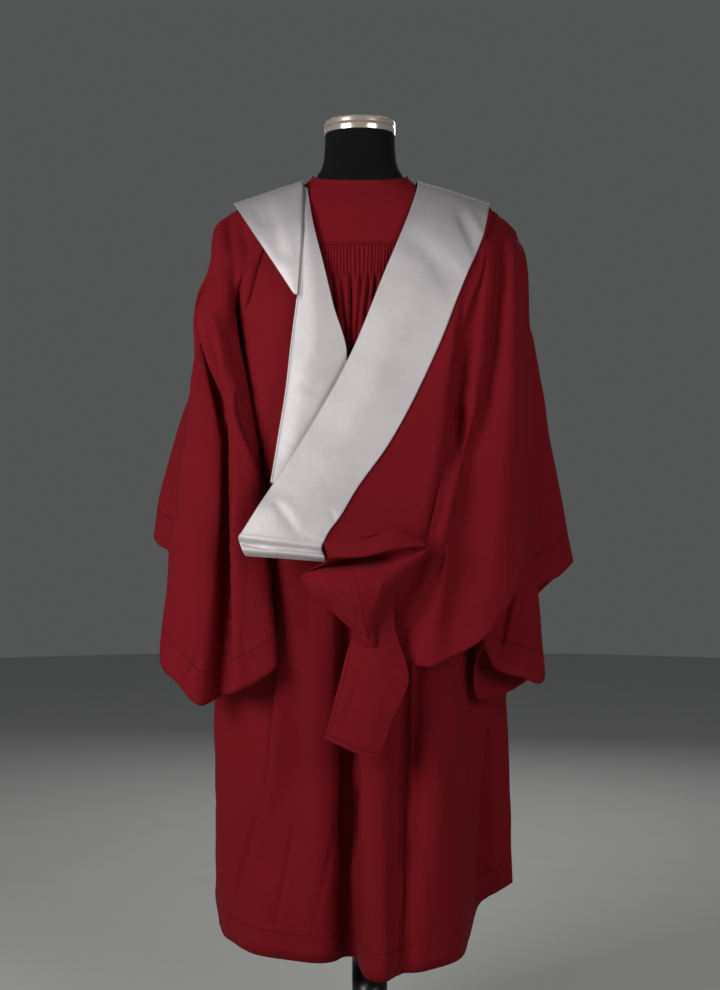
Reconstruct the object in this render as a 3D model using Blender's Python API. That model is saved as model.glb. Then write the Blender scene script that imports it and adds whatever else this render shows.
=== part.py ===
"""A graduation gown with its folded hood, worn by a limbless dress form on a post and base."""
import bpy
import numpy as np

MM = 0.001

# Sizes of the stand, in metres
BASE_RADIUS = 0.190
BASE_HEIGHT = 0.016
POST_RADIUS = 0.0290
POST_TOP = 0.7996
CAP_RADIUS = 0.0580
CAP_BOTTOM = 1.5753
CAP_TOP = 1.6000
SEAM_GAP = 0.0006
FRONT_GAP = 0.0008
SIDE_GAP = 0.0019
TUCK_GAP = 0.0006
FRONT_EASE = 0.0046
ARMHOLE_GAP = 0.0031
BODY_LEAN = -0.016

# Cloth walls, in metres
GOWN_WALL = 0.0018
PLEAT_WALL = 0.0015
HOOD_WALL = 0.0022
YOKE_REST = 0.0043

# Pleats of the back
PLEATS = 46
PLEAT_DEPTH = 0.0011
CHEST_ROW = 5
SEAM_HEIGHT = 1.380
STITCH_HEIGHT = 1.325
CHEST_HEIGHT = 1.190
KNEE_HEIGHT = 0.700
ELBOW_HEIGHT = 1.050

GOWN_RED = (0.165, 0.0075, 0.0130)
HOOD_SILVER = (0.600, 0.560, 0.575)
JERSEY_BLACK = (0.0055, 0.0055, 0.0060)
POST_BLACK = (0.008, 0.008, 0.008)
CHROME = (0.72, 0.70, 0.68)

# Form body, millimetres: height, half width, back, front
BODY = [
    (1575, 57, -70, 47), (1548, 58, -72, 46), (1520, 63, -76, 46), (1504, 72, -80, 47),
    (1490, 84, -84, 49), (1482, 95, -86, 51), (1474, 112, -88, 53), (1461, 140, -91, 57),
    (1447, 166, -95, 63), (1430, 183, -100, 70), (1405, 193, -106, 84), (1370, 195, -111, 99),
    (1310, 187, -112, 116), (1250, 179, -110, 125), (1180, 163, -102, 115),
    (1110, 144, -90, 100), (1060, 138, -84, 94), (1000, 146, -86, 98), (920, 158, -94, 102),
    (850, 164, -98, 102), (815, 160, -94, 98), (800, 150, -86, 90),
]
BODY_MIDDLE = -15
BODY_SQUARENESS = 0.85

# Yoke, degrees round from the back's middle: angle, neck edge height, outer edge height
YOKE = [
    (0, 1485, 1380), (30, 1487, 1380), (60, 1495, 1380), (72, 1499, 1412), (82, 1503, 1436),
    (90, 1505, 1443), (100, 1499, 1437), (110, 1489, 1417), (120, 1478, 1400),
    (140, 1458, 1396), (160, 1440, 1394),
]
BACK_CORNER = 60
FRONT_CORNER = 120
PLEAT_REACH = 28
FRONT_EDGE = 160

# Back folds, left to right: seam angle, chest x y, knee x y, hem x y z
BACK_FOLDS = [
    (-60, -206, -8, -239, 2, -234, 22, 270),
    (-54, -192, -62, -229, -38, -222, -22, 262),
    (-47, -177, -92, -202, -64, -206, -44, 258),
    (-39, -152, -106, -162, -84, -190, -66, 255),
    (-31, -118, -120, -130, -108, -166, -84, 251),
    (-22, -86, -128, -84, -120, -115, -94, 245),
    (-13, -54, -134, -42, -126, -60, -103, 243),
    (-7, -30, -122, -18, -106, -20, -84, 241),
    (-2, -12, -123, -10, -108, -6, -92, 239),
    (3, 8, -136, -2, -142, 12, -150, 234),
    (10, 38, -134, 32, -146, 36, -164, 232),
    (18, 66, -124, 72, -122, 62, -142, 236),
    (27, 98, -130, 104, -138, 104, -137, 241),
    (36, 130, -116, 136, -126, 160, -100, 251),
    (44, 152, -98, 152, -104, 178, -50, 268),
    (51, 176, -72, 178, -66, 196, 6, 308),
    (56, 192, -46, 216, -38, 226, 16, 324),
    (60, 206, -8, 241, 0, 254, 26, 338),
]

# Front folds from the side seam to the opening: seam angle, chest x y, knee x y, hem x y z
FRONT_FOLDS = [
    (123, 194, 60, 230, 74, 244, 84, 320),
    (128, 172, 98, 198, 106, 204, 116, 300),
    (134, 144, 118, 164, 142, 170, 150, 286),
    (141, 108, 134, 124, 134, 126, 142, 272),
    (150, 72, 144, 84, 156, 80, 164, 264),
    (160, 50, 144, 52, 150, 50, 158, 262),
]

# Left sleeve folds round the armhole from the shoulder by the back
# share of the round, upper arm x y, elbow x y, hem x y z
LEFT_SLEEVE = [
    (0.00, 254, 12, 316, 12, 345, 22, 918),
    (0.05, 256, -16, 300, -22, 330, -16, 902),
    (0.07, 254, -30, 281, -38, 304, -44, 886),
    (0.09, 253, -46, 285, -72, 318, -92, 720),
    (0.12, 251, -56, 256, -96, 288, -122, 690),
    (0.15, 249, -64, 219, -108, 249, -132, 655),
    (0.17, 243, -66, 209, -90, 220, -102, 666),
    (0.20, 244, -92, 199, -134, 198, -150, 677),
    (0.24, 224, -112, 180, -140, 168, -152, 690),
    (0.28, 197, -99, 162, -126, 134, -146, 713),
    (0.32, 198, -92, 159, -113, 130, -136, 722),
    (0.37, 200, -70, 176, -106, 166, -112, 740),
    (0.43, 208, -50, 203, -80, 222, -68, 765),
    (0.50, 217, -24, 230, -44, 262, -46, 800),
    (0.60, 220, 20, 238, 0, 272, 0, 850),
    (0.72, 216, 66, 240, 78, 276, 76, 890),
    (0.87, 236, 62, 282, 82, 312, 78, 914),
]
LEFT_SLEEVE_HEAD = 0.034

# Right sleeve folds, the same columns
RIGHT_SLEEVE = [
    (0.00, 258, 12, 318, 12, 355, 16, 874),
    (0.08, 252, -14, 298, -16, 328, -14, 852),
    (0.14, 240, -34, 276, -34, 282, -42, 822),
    (0.18, 230, -50, 262, -50, 295, -80, 690),
    (0.23, 222, -70, 238, -72, 252, -108, 697),
    (0.28, 208, -86, 210, -90, 212, -114, 712),
    (0.33, 198, -92, 186, -106, 196, -116, 742),
    (0.38, 198, -84, 182, -104, 184, -102, 716),
    (0.43, 210, -64, 200, -88, 184, -88, 668),
    (0.49, 218, -34, 224, -62, 200, -78, 657),
    (0.57, 220, 12, 232, -10, 256, -56, 676),
    (0.66, 218, 58, 234, 42, 283, -36, 702),
    (0.78, 222, 74, 242, 82, 288, 42, 800),
    (0.90, 244, 56, 286, 76, 338, 46, 854),
]
RIGHT_SLEEVE_HEAD = 0.022

# Right hood band, row by row from the front point: left x y z, middle x y z, right x y z
BAND_RIGHT = [
    (6, 144, 1312, 18, 145, 1304, 30, 144, 1296),
    (44, 125, 1392, 72, 131, 1378, 100, 124, 1364),
    (78, 67, 1466, 118, 73, 1443, 158, 73, 1418),
    (90, 10, 1495, 142, 15, 1477, 196, 19, 1453),
    (93, -40, 1495, 150, -36, 1479, 210, -30, 1460),
    (92, -73, 1479, 148, -71, 1463, 206, -64, 1439),
    (77, -109, 1430, 136, -107, 1416, 194, -96, 1392),
    (39, -134, 1336, 103, -138, 1334, 167, -130, 1330),
    (-15, -152, 1203, 50, -164, 1203, 116, -152, 1203),
    (-95, -178, 1060, -27, -186, 1060, 42, -180, 1060),
    (-144, -194, 985, -78, -204, 985, -11, -200, 985),
    (-155, -201, 968, -90, -210, 962, -26, -211, 959),
    (-180, -207, 928, -118, -220, 922, -54, -223, 916),
    (-184, -208, 922, -121, -222, 914, -57, -226, 907),
    (-183, -204, 913, -120, -216, 906, -56, -220, 899),
    (-179, -209, 903, -117, -222, 899, -53, -226, 893),
    (-174, -199, 893, -114, -210, 889, -50, -214, 884),
]

# Left long band, row by row from under the neck edge: outer x y z, middle x y z, inner x y z
BAND_LEFT = [
    (-92, -75, 1480, -88, -80, 1478, -84, -83, 1475),
    (-92, -110, 1424, -84, -114, 1422, -75, -114, 1419),
    (-95, -128, 1352, -77, -132, 1349, -57, -130, 1346),
    (-99, -134, 1296, -70, -140, 1290, -42, -137, 1284),
    (-108, -139, 1222, -64, -148, 1212, -20, -142, 1202),
    (-117, -146, 1142, -78, -156, 1132, -38, -151, 1122),
    (-128, -156, 1070, -101, -164, 1062, -74, -162, 1054),
    (-138, -170, 1004, -125, -174, 1000, -112, -174, 996),
]

# Left shoulder piece, row by row from the front point: outer x y z, middle x y z, inner x y z
SHOULDER_LEFT = [
    (-30, 144, 1296, -18, 145, 1304, -6, 144, 1312),
    (-100, 124, 1364, -72, 131, 1378, -44, 125, 1392),
    (-158, 73, 1418, -118, 73, 1443, -78, 67, 1466),
    (-196, 19, 1452, -142, 15, 1476, -90, 10, 1494),
    (-207, -24, 1462, -148, -36, 1478, -92, -42, 1493),
    (-192, -68, 1437, -143, -80, 1464, -92, -81, 1484),
    (-166, -102, 1396, -132, -112, 1415, -91, -117, 1426),
    (-132, -126, 1344, -115, -131, 1350, -94, -133, 1352),
    (-103, -139, 1299, -101, -140, 1298, -98, -141, 1297),
]

# Cape ribs from under the band outward: shoulder, blade, waist, hip and hem, each x y z
CAPE_RIBS = [
    (216, -34, 1447, 180, -130, 1306, 132, -158, 1156, 100, -174, 1000, 68, -204, 916),
    (219, -34, 1446, 186, -122, 1300, 150, -138, 1096, 98, -168, 892, 56, -186, 742),
    (223, -34, 1443, 198, -124, 1296, 172, -148, 1110, 134, -178, 908, 99, -200, 724),
    (228, -32, 1438, 218, -110, 1296, 194, -128, 1120, 166, -150, 930, 139, -190, 737),
    (234, -28, 1431, 240, -104, 1296, 228, -128, 1103, 211, -148, 900, 185, -178, 761),
    (241, -24, 1423, 256, -84, 1298, 253, -108, 1092, 249, -122, 930, 231, -144, 813),
    (250, -18, 1414, 273, -54, 1301, 271, -86, 1092, 269, -98, 990, 262, -110, 884),
]
CAPE_KNOTS = [0, 3, 4.4, 5.7, 9]
BACK_EASE = ([-60, -54, -47, -31, -20], [0.30, 0.55, 0.70, 0.60, 0.18])
BACK_PUFF = ([-60, -54, -47], [0.030, 0.022, 0.0])

# Cowl rows from the lip down: five points across, left to right, each x y z
COWL_ROWS = [
    (-55, -229.3, 914, -20, -226, 917, 17, -221, 922,
     52, -216, 931, 92, -206, 918),
    (-53, -233.2, 909, -20, -234, 907, 17, -231, 911,
     52, -227, 919, 98, -214, 909),
    (-49, -235.9, 892, -19, -237, 892, 10, -236, 894,
     44, -231, 902, 88, -218, 908),
    (-49, -229.9, 887, -20, -227, 892, 10, -225, 896,
     46, -221, 903, 87, -213, 905),
    (-77, -208, 871, -30, -188, 879, 13, -190, 883,
     51, -209, 891, 87, -207, 900),
    (-90, -216, 863, -63, -222, 869, -16, -227, 871,
     37, -226, 874, 98, -212, 897),
    (-88, -217, 858, -55, -231, 854, -13, -240, 852,
     38, -234, 858, 78, -206, 870),
    (-73, -217, 836, -43, -231, 830, -7, -240, 827,
     26, -232, 829, 51, -206, 833),
    (-40, -216, 807, -22, -228, 804, -1, -234, 801,
     16, -228, 802, 30, -210, 802),
    (-7, -218, 778, 2, -223, 774, 10, -226, 771,
     16, -223, 773, 22, -214, 782),
    (13, -220, 759, 15, -221, 757, 17, -221.5, 757,
     20, -221, 758, 23, -217, 765),
]

# Tail rows from the top down: five points across, left to right, each x y z
TAIL_ROWS = [
    (-4, -200, 831, 10, -202, 833, 25, -202.9, 835,
     40, -202.9, 836, 52, -201, 838),
    (-14, -208, 765, 4, -212, 760, 23, -213, 758,
     43, -209, 764, 55, -204, 774),
    (-21, -213, 743, 1, -217, 733, 25, -217, 730,
     49, -212, 728, 68, -206, 735),
    (-29, -214, 711, -5, -218, 706, 22, -218, 704,
     51, -214, 701, 74, -208, 708),
    (-39, -213, 672, -14, -217, 666, 10, -217, 663,
     37, -214, 666, 64, -210, 676),
    (-49, -212, 634, -25, -215, 627, -1, -215, 621,
     25, -213, 620, 48, -210, 641),
    (-54, -211, 616, -29, -213, 605, -7, -213, 595,
     16, -212, 587, 30, -210, 590),
]


def clear_scene():
    """Remove every object that the start-up file brings."""
    for item in list(bpy.data.objects):
        bpy.data.objects.remove(item, do_unlink=True)


def material(name, colour, roughness, metallic=0.0):
    """A plain Principled material."""
    made = bpy.data.materials.new(name)
    made.use_nodes = True
    shader = made.node_tree.nodes["Principled BSDF"]
    shader.inputs["Base Color"].default_value = (*colour, 1.0)
    shader.inputs["Roughness"].default_value = roughness
    shader.inputs["Metallic"].default_value = metallic
    return made


def spline(knots, values, at):
    """Smooth cubic values at given places between rising knots."""
    knots = np.asarray(knots, float)
    values = np.asarray(values, float)
    at = np.asarray(at, float)
    wide = (-1,) + (1,) * (values.ndim - 1)
    run = np.diff(knots)
    slope = np.diff(values, axis=0) / run.reshape(wide)
    weight = (run[1:] / (run[1:] + run[:-1])).reshape(wide)
    inner = slope[:-1] * weight + slope[1:] * (1 - weight)
    tangent = np.concatenate([slope[:1], inner, slope[-1:]])
    at = np.clip(at, knots[0], knots[-1])
    i = np.clip(np.searchsorted(knots, at, side="right") - 1, 0, len(knots) - 2)
    full = at.shape + (1,) * (values.ndim - 1)
    span = run[i].reshape(full)
    t = ((at - knots[i]) / run[i]).reshape(full)
    return (values[i] * (2 * t**3 - 3 * t**2 + 1) + values[i + 1] * (3 * t**2 - 2 * t**3)
            + tangent[i] * span * (t**3 - 2 * t**2 + t)
            + tangent[i + 1] * span * (t**3 - t**2))


def through(rows, steps, closed=False):
    """Rows on a smooth cubic through the given rows, with so many steps to each span."""
    rows = np.asarray(rows, float)
    if closed:
        rows = np.concatenate([rows[-3:], rows, rows[:3]])
    apart = np.diff(rows, axis=0).reshape(len(rows) - 1, -1, rows.shape[-1])
    length = np.linalg.norm(apart, axis=2).mean(axis=1)
    knots = np.concatenate([[0], np.cumsum(length)])
    places = np.arange((len(rows) - 1) * steps + 1) / steps
    curve = spline(knots, rows, np.interp(places, np.arange(len(rows)), knots))
    if closed:
        return curve[3 * steps:(len(rows) - 3) * steps]
    return curve


def look_up(table, column, at):
    """A smooth value from a table whose first column runs up or down."""
    table = np.asarray(table, float)
    table = table[np.argsort(table[:, 0])]
    return spline(table[:, 0], table[:, column], at)


def body_surface(angle, height):
    """Points of the form's skin, at an angle round from the back's middle and a height."""
    turn = np.radians(np.asarray(angle, float) - 90)
    half = look_up(BODY, 1, height)
    back = BODY_MIDDLE - look_up(BODY, 2, height)
    front = look_up(BODY, 3, height) - BODY_MIDDLE
    c = np.cos(turn)
    s = np.sin(turn)
    depth = np.where(s < 0, back, front)
    x = half * np.sign(c) * np.abs(c)**BODY_SQUARENESS
    y = BODY_MIDDLE + depth * np.sign(s) * np.abs(s)**BODY_SQUARENESS
    return np.stack([x, y, height + 0 * x], axis=-1) * MM


def grid_normals(grid, closed=False):
    """Unit normals of a grid of points."""
    if closed:
        across = np.roll(grid, -1, axis=0) - np.roll(grid, 1, axis=0)
    else:
        across = np.gradient(grid, axis=0)
    down = np.gradient(grid, axis=1)
    normal = np.cross(across, down)
    return normal / np.maximum(np.linalg.norm(normal, axis=2, keepdims=True), 1e-12)


def make_object(name, verts, faces, paint, origin):
    """One named object whose origin lies at the given point."""
    verts = np.asarray(verts, float)
    corners = verts[np.asarray(faces)]
    volume = np.einsum("ij,ij->i", corners[:, 0], np.cross(corners[:, 1], corners[:, 2])).sum()
    if volume < 0:
        faces = [face[::-1] for face in faces]
    mesh = bpy.data.meshes.new(name)
    mesh.from_pydata((verts - origin).tolist(), [], [tuple(int(i) for i in f) for f in faces])
    mesh.materials.append(paint)
    mesh.update()
    made = bpy.data.objects.new(name, mesh)
    made.location = origin
    bpy.context.scene.collection.objects.link(made)
    return made


def band_faces(a, b, closed):
    """Triangles between two rows of vertex numbers; the second may have half as many."""
    if closed:
        a = np.append(a, a[0])
        b = np.append(b, b[0])
    faces = []
    if len(a) == len(b):
        for i in range(len(a) - 1):
            faces.append((a[i], a[i + 1], b[i + 1]))
            faces.append((a[i], b[i + 1], b[i]))
        return faces
    for k in range(len(b) - 1):
        faces.append((a[2 * k], a[2 * k + 1], b[k]))
        faces.append((a[2 * k + 1], b[k + 1], b[k]))
        faces.append((a[2 * k + 1], a[2 * k + 2], b[k + 1]))
    return faces


def wall(name, grid, thick, paint, closed=False, halve_from=None):
    """A cloth wall about a grid of middle points, with rims on its free edges."""
    normal = grid_normals(grid, closed)
    grid = grid + np.array([BODY_LEAN, 0, 0])
    count = grid.shape[1]
    halve_from = count if halve_from is None else halve_from
    verts = []
    layers = []
    start = 0
    for side in (0.5, -0.5):
        rows = []
        for j in range(count):
            step = 2 if j >= halve_from else 1
            row = grid[::step, j] + normal[::step, j] * thick * side
            verts.append(row)
            rows.append(np.arange(start, start + len(row)))
            start += len(row)
        layers.append(rows)
    outer, inner = layers
    faces = []
    for j in range(count - 1):
        faces += band_faces(outer[j], outer[j + 1], closed)
        faces += [face[::-1] for face in band_faces(inner[j], inner[j + 1], closed)]
    faces += [face[::-1] for face in band_faces(outer[0], inner[0], closed)]
    faces += band_faces(outer[-1], inner[-1], closed)
    if not closed:
        for column, flip in ((0, 1), (-1, -1)):
            a = np.array([row[column] for row in outer])
            b = np.array([row[column] for row in inner])
            faces += [face[::flip] for face in band_faces(a, b, False)]
    return make_object(name, np.concatenate(verts), faces, paint, grid[:, 0].mean(axis=0))


def solid_of_rings(name, rings, paint, lean=0.0):
    """A closed body through rings of points, capped at both ends."""
    rings = np.asarray(rings, float) + np.array([lean, 0, 0])
    count, around = rings.shape[:2]
    verts = rings.reshape(-1, 3)
    ends = np.stack([rings[0].mean(axis=0), rings[-1].mean(axis=0)])
    verts = np.concatenate([verts, ends])
    faces = []
    for j in range(count - 1):
        a = np.arange(j * around, (j + 1) * around)
        faces += band_faces(a, a + around, True)
    first, last = count * around, count * around + 1
    for i in range(around):
        following = (i + 1) % around
        faces.append((following, i, first))
        faces.append(((count - 1) * around + i, (count - 1) * around + following, last))
    return make_object(name, verts, faces, paint, ends[1])


def turned(profile, around):
    """Rings of a turned body from its radius and height rows."""
    turn = np.arange(around) * 2 * np.pi / around
    return [np.stack([r * np.cos(turn), r * np.sin(turn), z + 0 * turn], axis=-1)
            for r, z in profile]


def seam_point(angle, height):
    """A point of the yoke's middle layer."""
    angle = np.atleast_1d(np.asarray(angle, float))
    height = np.atleast_1d(np.asarray(height, float))
    step = 1.0
    here = body_surface(angle, height)
    beside = body_surface(angle + step, height) - body_surface(angle - step, height)
    below = body_surface(angle, height - step) - body_surface(angle, height + step)
    normal = np.cross(below, beside)
    normal /= np.linalg.norm(normal, axis=-1, keepdims=True)
    return here + normal * (YOKE_REST + GOWN_WALL / 2)


def yoke_grid():
    """The yoke laid on the form: round the neck, then from its neck edge outward."""
    angle = np.arange(-FRONT_EDGE, FRONT_EDGE + 1, 10.0)
    top = look_up(YOKE, 1, np.abs(angle))
    bottom = look_up(YOKE, 2, np.abs(angle))
    bottom = np.where(np.abs(angle) <= BACK_CORNER, SEAM_HEIGHT / MM, bottom)
    share = np.array([0.0, 0.12, 0.26, 0.42, 0.58, 0.74, 0.88, 1.0])
    heights = top[:, None] + (bottom - top)[:, None] * share[None, :]
    angles = np.repeat(angle[:, None], len(share), axis=1)
    return seam_point(angles.ravel(), heights.ravel()).reshape(len(angle), len(share), 3)


def skirt_ribs(folds, side, tops, eases):
    """Fold lines of a hanging panel: seam, stitch line, chest, knee and hem."""
    ribs = []
    for (angle, cx, cy, kx, ky, hx, hy, hz), top, ease in zip(folds, tops, eases):
        chest = np.array([side * cx, cy, CHEST_HEIGHT / MM]) * MM
        knee = np.array([side * kx, ky, KNEE_HEIGHT / MM]) * MM
        hem = np.array([side * hx, hy, hz]) * MM
        near = top + (chest - top) * np.array([ease * 0.8, ease, 0])
        near[2] = min(STITCH_HEIGHT, top[2] - 0.045)
        ribs.append([top, near, chest, knee, hem])
    return np.array(ribs)


def under_seam(angle, height):
    """The seam line of the yoke, lowered by the gap."""
    return seam_point(angle, height) - np.array([0, 0, SEAM_GAP])


def back_ribs():
    """Fold lines of the back from one side seam to the other."""
    angles = [row[0] for row in BACK_FOLDS]
    tops = under_seam(angles, [SEAM_HEIGHT / MM] * len(angles))
    ribs = skirt_ribs(BACK_FOLDS, 1, tops, np.interp(angles, *BACK_EASE))
    ribs[:, 1, 1] -= np.interp(angles, *BACK_PUFF)
    return ribs


def front_ribs(side, back):
    """Fold lines of a front, its first one the side seam shared with the back."""
    edge = back[-1 if side > 0 else 0]
    angles = np.array([FRONT_CORNER] + [row[0] for row in FRONT_FOLDS], float)
    tops = under_seam(side * angles, look_up(YOKE, 2, angles))
    ribs = skirt_ribs([(0,) * 8] + FRONT_FOLDS, side, tops, 0 * angles + 0.78)
    ribs[0, 1] = tops[0] + np.array([side * 0.006, 0.012, -0.070])
    ribs[0, 2:] = edge[[CHEST_ROW, CHEST_ROW + 4, CHEST_ROW + 8]] + np.array([0, SIDE_GAP, 0])
    return ribs


def front_grid(side, back):
    """A front from its side seam to its opening."""
    ribs = front_ribs(side, back)
    grid = through(ribs, 2)
    angles = np.array([FRONT_CORNER] + [row[0] for row in FRONT_FOLDS], float)
    fine = np.interp(np.arange(len(grid)) / 2, np.arange(len(angles)), angles)
    grid[:, 0] = seam_point(side * fine, look_up(YOKE, 2, fine)) - np.array([0, 0, FRONT_GAP])
    grid = np.swapaxes(through(np.swapaxes(grid, 0, 1), 4), 0, 1)
    edge = back[-1 if side > 0 else 0]
    grid[0, 8:] = edge[CHEST_ROW:] + np.array([0, SIDE_GAP, 0])
    return grid


def armhole(side, back, front):
    """Points round an armhole from the shoulder by the back, the underarm and the front."""
    upper_back = np.arange(90, BACK_CORNER - 1, -10.0)
    behind = seam_point(side * upper_back, look_up(YOKE, 2, upper_back))
    down = back[-1 if side > 0 else 0, 1:CHEST_ROW + 1]
    up = front[0, :8][::-1]
    upper_front = np.arange(FRONT_CORNER - 10, 90, -10.0)
    before = seam_point(side * upper_front, look_up(YOKE, 2, upper_front))
    return np.concatenate([behind, down, up, before])


def along(points, share):
    """Points at shares of the way round a closed line."""
    closed = np.concatenate([points, points[:1]])
    run = np.concatenate([[0], np.cumsum(np.linalg.norm(np.diff(closed, axis=0), axis=1))])
    at = np.mod(share, 1.0) * run[-1]
    return np.stack([np.interp(at, run, closed[:, k]) for k in range(3)], axis=-1)


def sleeve_grid(rows, side, head, ring):
    """A bell sleeve: a closed round of folds from the armhole to the slanted hem."""
    rows = np.asarray(rows, float)
    across = 2
    down = 3
    out = np.array([side, 0, 0])
    upper = np.maximum(np.cos(2 * np.pi * rows[:, 0]), 0)[:, None]
    start = along(ring, rows[:, 0]) + out * ARMHOLE_GAP
    crown = start + out * (0.006 + head * upper) - np.array([0, 0, 0.018]) * (1 - 0.9 * upper)
    behind = np.clip(np.sin(2 * np.pi * rows[:, 0]), 0, 1)[:, None]
    crown = crown - np.array([0, 0.012, 0]) * behind
    arm_height = np.minimum(1.330, start[:, 2] - 0.044) / MM
    arm = np.stack([side * rows[:, 1], rows[:, 2], arm_height], axis=1) * MM
    elbow = np.stack([side * rows[:, 3], rows[:, 4], 0 * arm_height + ELBOW_HEIGHT / MM], 1) * MM
    hem = np.stack([side * rows[:, 5], rows[:, 6], rows[:, 7]], axis=1) * MM
    grid = through(np.stack([start, crown, arm, elbow, hem], axis=1), across, closed=True)
    fine = np.interp(np.arange(len(grid)) / across, np.arange(len(rows) + 1),
                     np.append(rows[:, 0], 1.0))
    front = np.maximum(-np.sin(2 * np.pi * fine), 0)[:, None]
    grid[:, 0] = along(ring, fine) + out * (ARMHOLE_GAP + FRONT_EASE * front)
    return np.swapaxes(through(np.swapaxes(grid, 0, 1), down), 0, 1)


def rows_to_grid(rows, across, down):
    """A grid from rows of x y z triples: each row runs across the piece."""
    rows = np.asarray(rows, float).reshape(len(rows), -1, 3) * MM
    grid = through(rows, down)
    return through(np.swapaxes(grid, 0, 1), across)


def pleated_back():
    """The back panel: stitched pleats at the yoke that open out into the large folds."""
    angles = np.array([row[0] for row in BACK_FOLDS], float)
    plain = np.linspace(-BACK_CORNER, -PLEAT_REACH, 12, endpoint=False)
    middle = np.linspace(-PLEAT_REACH, PLEAT_REACH, 2 * PLEATS + 1)
    columns = np.concatenate([plain, middle, -plain[::-1]])
    grid = through(back_ribs(), 12)
    fine = np.interp(np.arange(len(grid)) / 12, np.arange(len(angles)), angles)
    flat = grid.reshape(len(grid), -1)
    pick = np.stack([np.interp(columns, fine, flat[:, k]) for k in range(flat.shape[1])], axis=1)
    pick = pick.reshape((len(columns),) + grid.shape[1:])
    pick[:, 0] = under_seam(columns, 0 * columns + SEAM_HEIGHT / MM)
    grid = np.swapaxes(through(np.swapaxes(pick, 0, 1), 8), 0, 1)
    keep = [0, 1, 7, 10, 13, 16, 18, 20, 22, 24, 26, 28, 30, 32]
    grid = grid[:, keep]
    grid[:, 1] = grid[:, 0] + (grid[:, 1] - grid[:, 0]) * 0.8
    depth = np.array([0.0, 1.0, 1.0, 0.6] + [0.0] * (len(keep) - 4)) * PLEAT_DEPTH
    count = np.arange(len(columns)) - len(plain)
    inside = (count > 0) & (count < 2 * PLEATS)
    sign = np.where(count % 2 == 0, 1.0, -1.0) * inside
    normal = grid_normals(grid)
    outward = np.where(normal[:, :, 1:2] > 0, -normal, normal)
    return grid + outward * sign[:, None, None] * depth[None, :, None]


def moved_in(grid, distance):
    """A grid moved along its normals toward the body's middle line."""
    normal = grid_normals(grid)
    away = np.sign(np.einsum("ijk,ijk->ij", normal, grid - np.array([0, 0.02, 1.2])))
    return grid - normal * away[..., None] * distance


def band_left_grid(shoulder):
    """The long band: its upper edge tucked under the shoulder piece's inner edge."""
    grid = rows_to_grid(BAND_LEFT, 3, 2)
    under = moved_in(shoulder, HOOD_WALL + TUCK_GAP)
    grid[0, :7] = (under[-1] * 0.85 + under[-2] * 0.15)[10:17]
    return grid


def cape_grid(band):
    """The cape: tucked under the band's outer edge, then out over the folds to its hem."""
    under = moved_in(band, HOOD_WALL + TUCK_GAP)
    rows = np.arange(8, 27)
    ribs = np.asarray(CAPE_RIBS, float).reshape(len(CAPE_RIBS), -1, 3) * MM
    places = (np.arange(len(rows))) / 2
    down = spline(CAPE_KNOTS, np.swapaxes(ribs, 0, 1), places)
    down = np.swapaxes(down, 0, 1)
    lines = np.concatenate([under[-1:, rows], down])
    return np.concatenate([under[-2:-1, rows], through(lines, 2)])


clear_scene()
red = material("gown_cloth", GOWN_RED, 0.85)
silver = material("hood_satin", HOOD_SILVER, 0.38)
jersey = material("form_jersey", JERSEY_BLACK, 0.9)
post_paint = material("post_lacquer", POST_BLACK, 0.35)
chrome = material("cap_chrome", CHROME, 0.18, 1.0)

ring_angles = np.arange(0, 360, 10.0)
heights = np.array([row[0] for row in BODY], float)
torso = [body_surface(ring_angles, 0 * ring_angles + height) for height in heights[::-1]]
solid_of_rings("form_torso", torso, jersey, BODY_LEAN)

cap = [(CAP_RADIUS - 0.0015, CAP_BOTTOM), (CAP_RADIUS, CAP_BOTTOM + 0.0012),
       (CAP_RADIUS, CAP_TOP - 0.0055), (CAP_RADIUS - 0.0015, CAP_TOP - 0.0035),
       (CAP_RADIUS * 0.5, CAP_TOP - 0.0008), (0.006, CAP_TOP)]
cap_rings = [ring + np.array([0, -0.012, 0]) for ring in turned(cap, 36)]
solid_of_rings("neck_cap", cap_rings, chrome, BODY_LEAN)

post = [(0.052, BASE_HEIGHT + SEAM_GAP), (0.052, 0.034), (0.046, 0.042), (0.030, 0.060),
        (0.0255, 0.075), (0.0255, 0.110), (POST_RADIUS, 0.118), (POST_RADIUS, 0.270),
        (0.0315, 0.275), (0.0315, 0.285), (POST_RADIUS, 0.290), (POST_RADIUS, POST_TOP)]
solid_of_rings("form_post", turned(post, 24), post_paint)
base = [(BASE_RADIUS - 0.004, 0.0), (BASE_RADIUS, 0.003), (BASE_RADIUS, 0.009),
        (BASE_RADIUS - 0.006, 0.0145), (BASE_RADIUS - 0.030, BASE_HEIGHT), (0.06, BASE_HEIGHT)]
solid_of_rings("form_base", turned(base, 40), post_paint)

wall("gown_yoke", yoke_grid(), GOWN_WALL, red)
back = pleated_back()
wall("gown_back", back, PLEAT_WALL, red, halve_from=4)
front_left = front_grid(-1, back)
front_right = front_grid(1, back)
wall("gown_front_left", front_left, GOWN_WALL, red)
wall("gown_front_right", front_right, GOWN_WALL, red)
left_sleeve = sleeve_grid(LEFT_SLEEVE, -1, LEFT_SLEEVE_HEAD, armhole(-1, back, front_left))
right_sleeve = sleeve_grid(RIGHT_SLEEVE, 1, RIGHT_SLEEVE_HEAD, armhole(1, back, front_right))
wall("sleeve_left", left_sleeve, GOWN_WALL, red, closed=True)
wall("sleeve_right", right_sleeve, GOWN_WALL, red, closed=True)
band_right = rows_to_grid(BAND_RIGHT, 3, 2)
wall("hood_band_right", band_right, HOOD_WALL, silver)
shoulder_left = rows_to_grid(SHOULDER_LEFT, 3, 2)
wall("hood_shoulder_left", shoulder_left, HOOD_WALL, silver)
wall("hood_band_left", band_left_grid(shoulder_left), HOOD_WALL, silver)
wall("hood_cape", cape_grid(band_right), HOOD_WALL, red)
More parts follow.
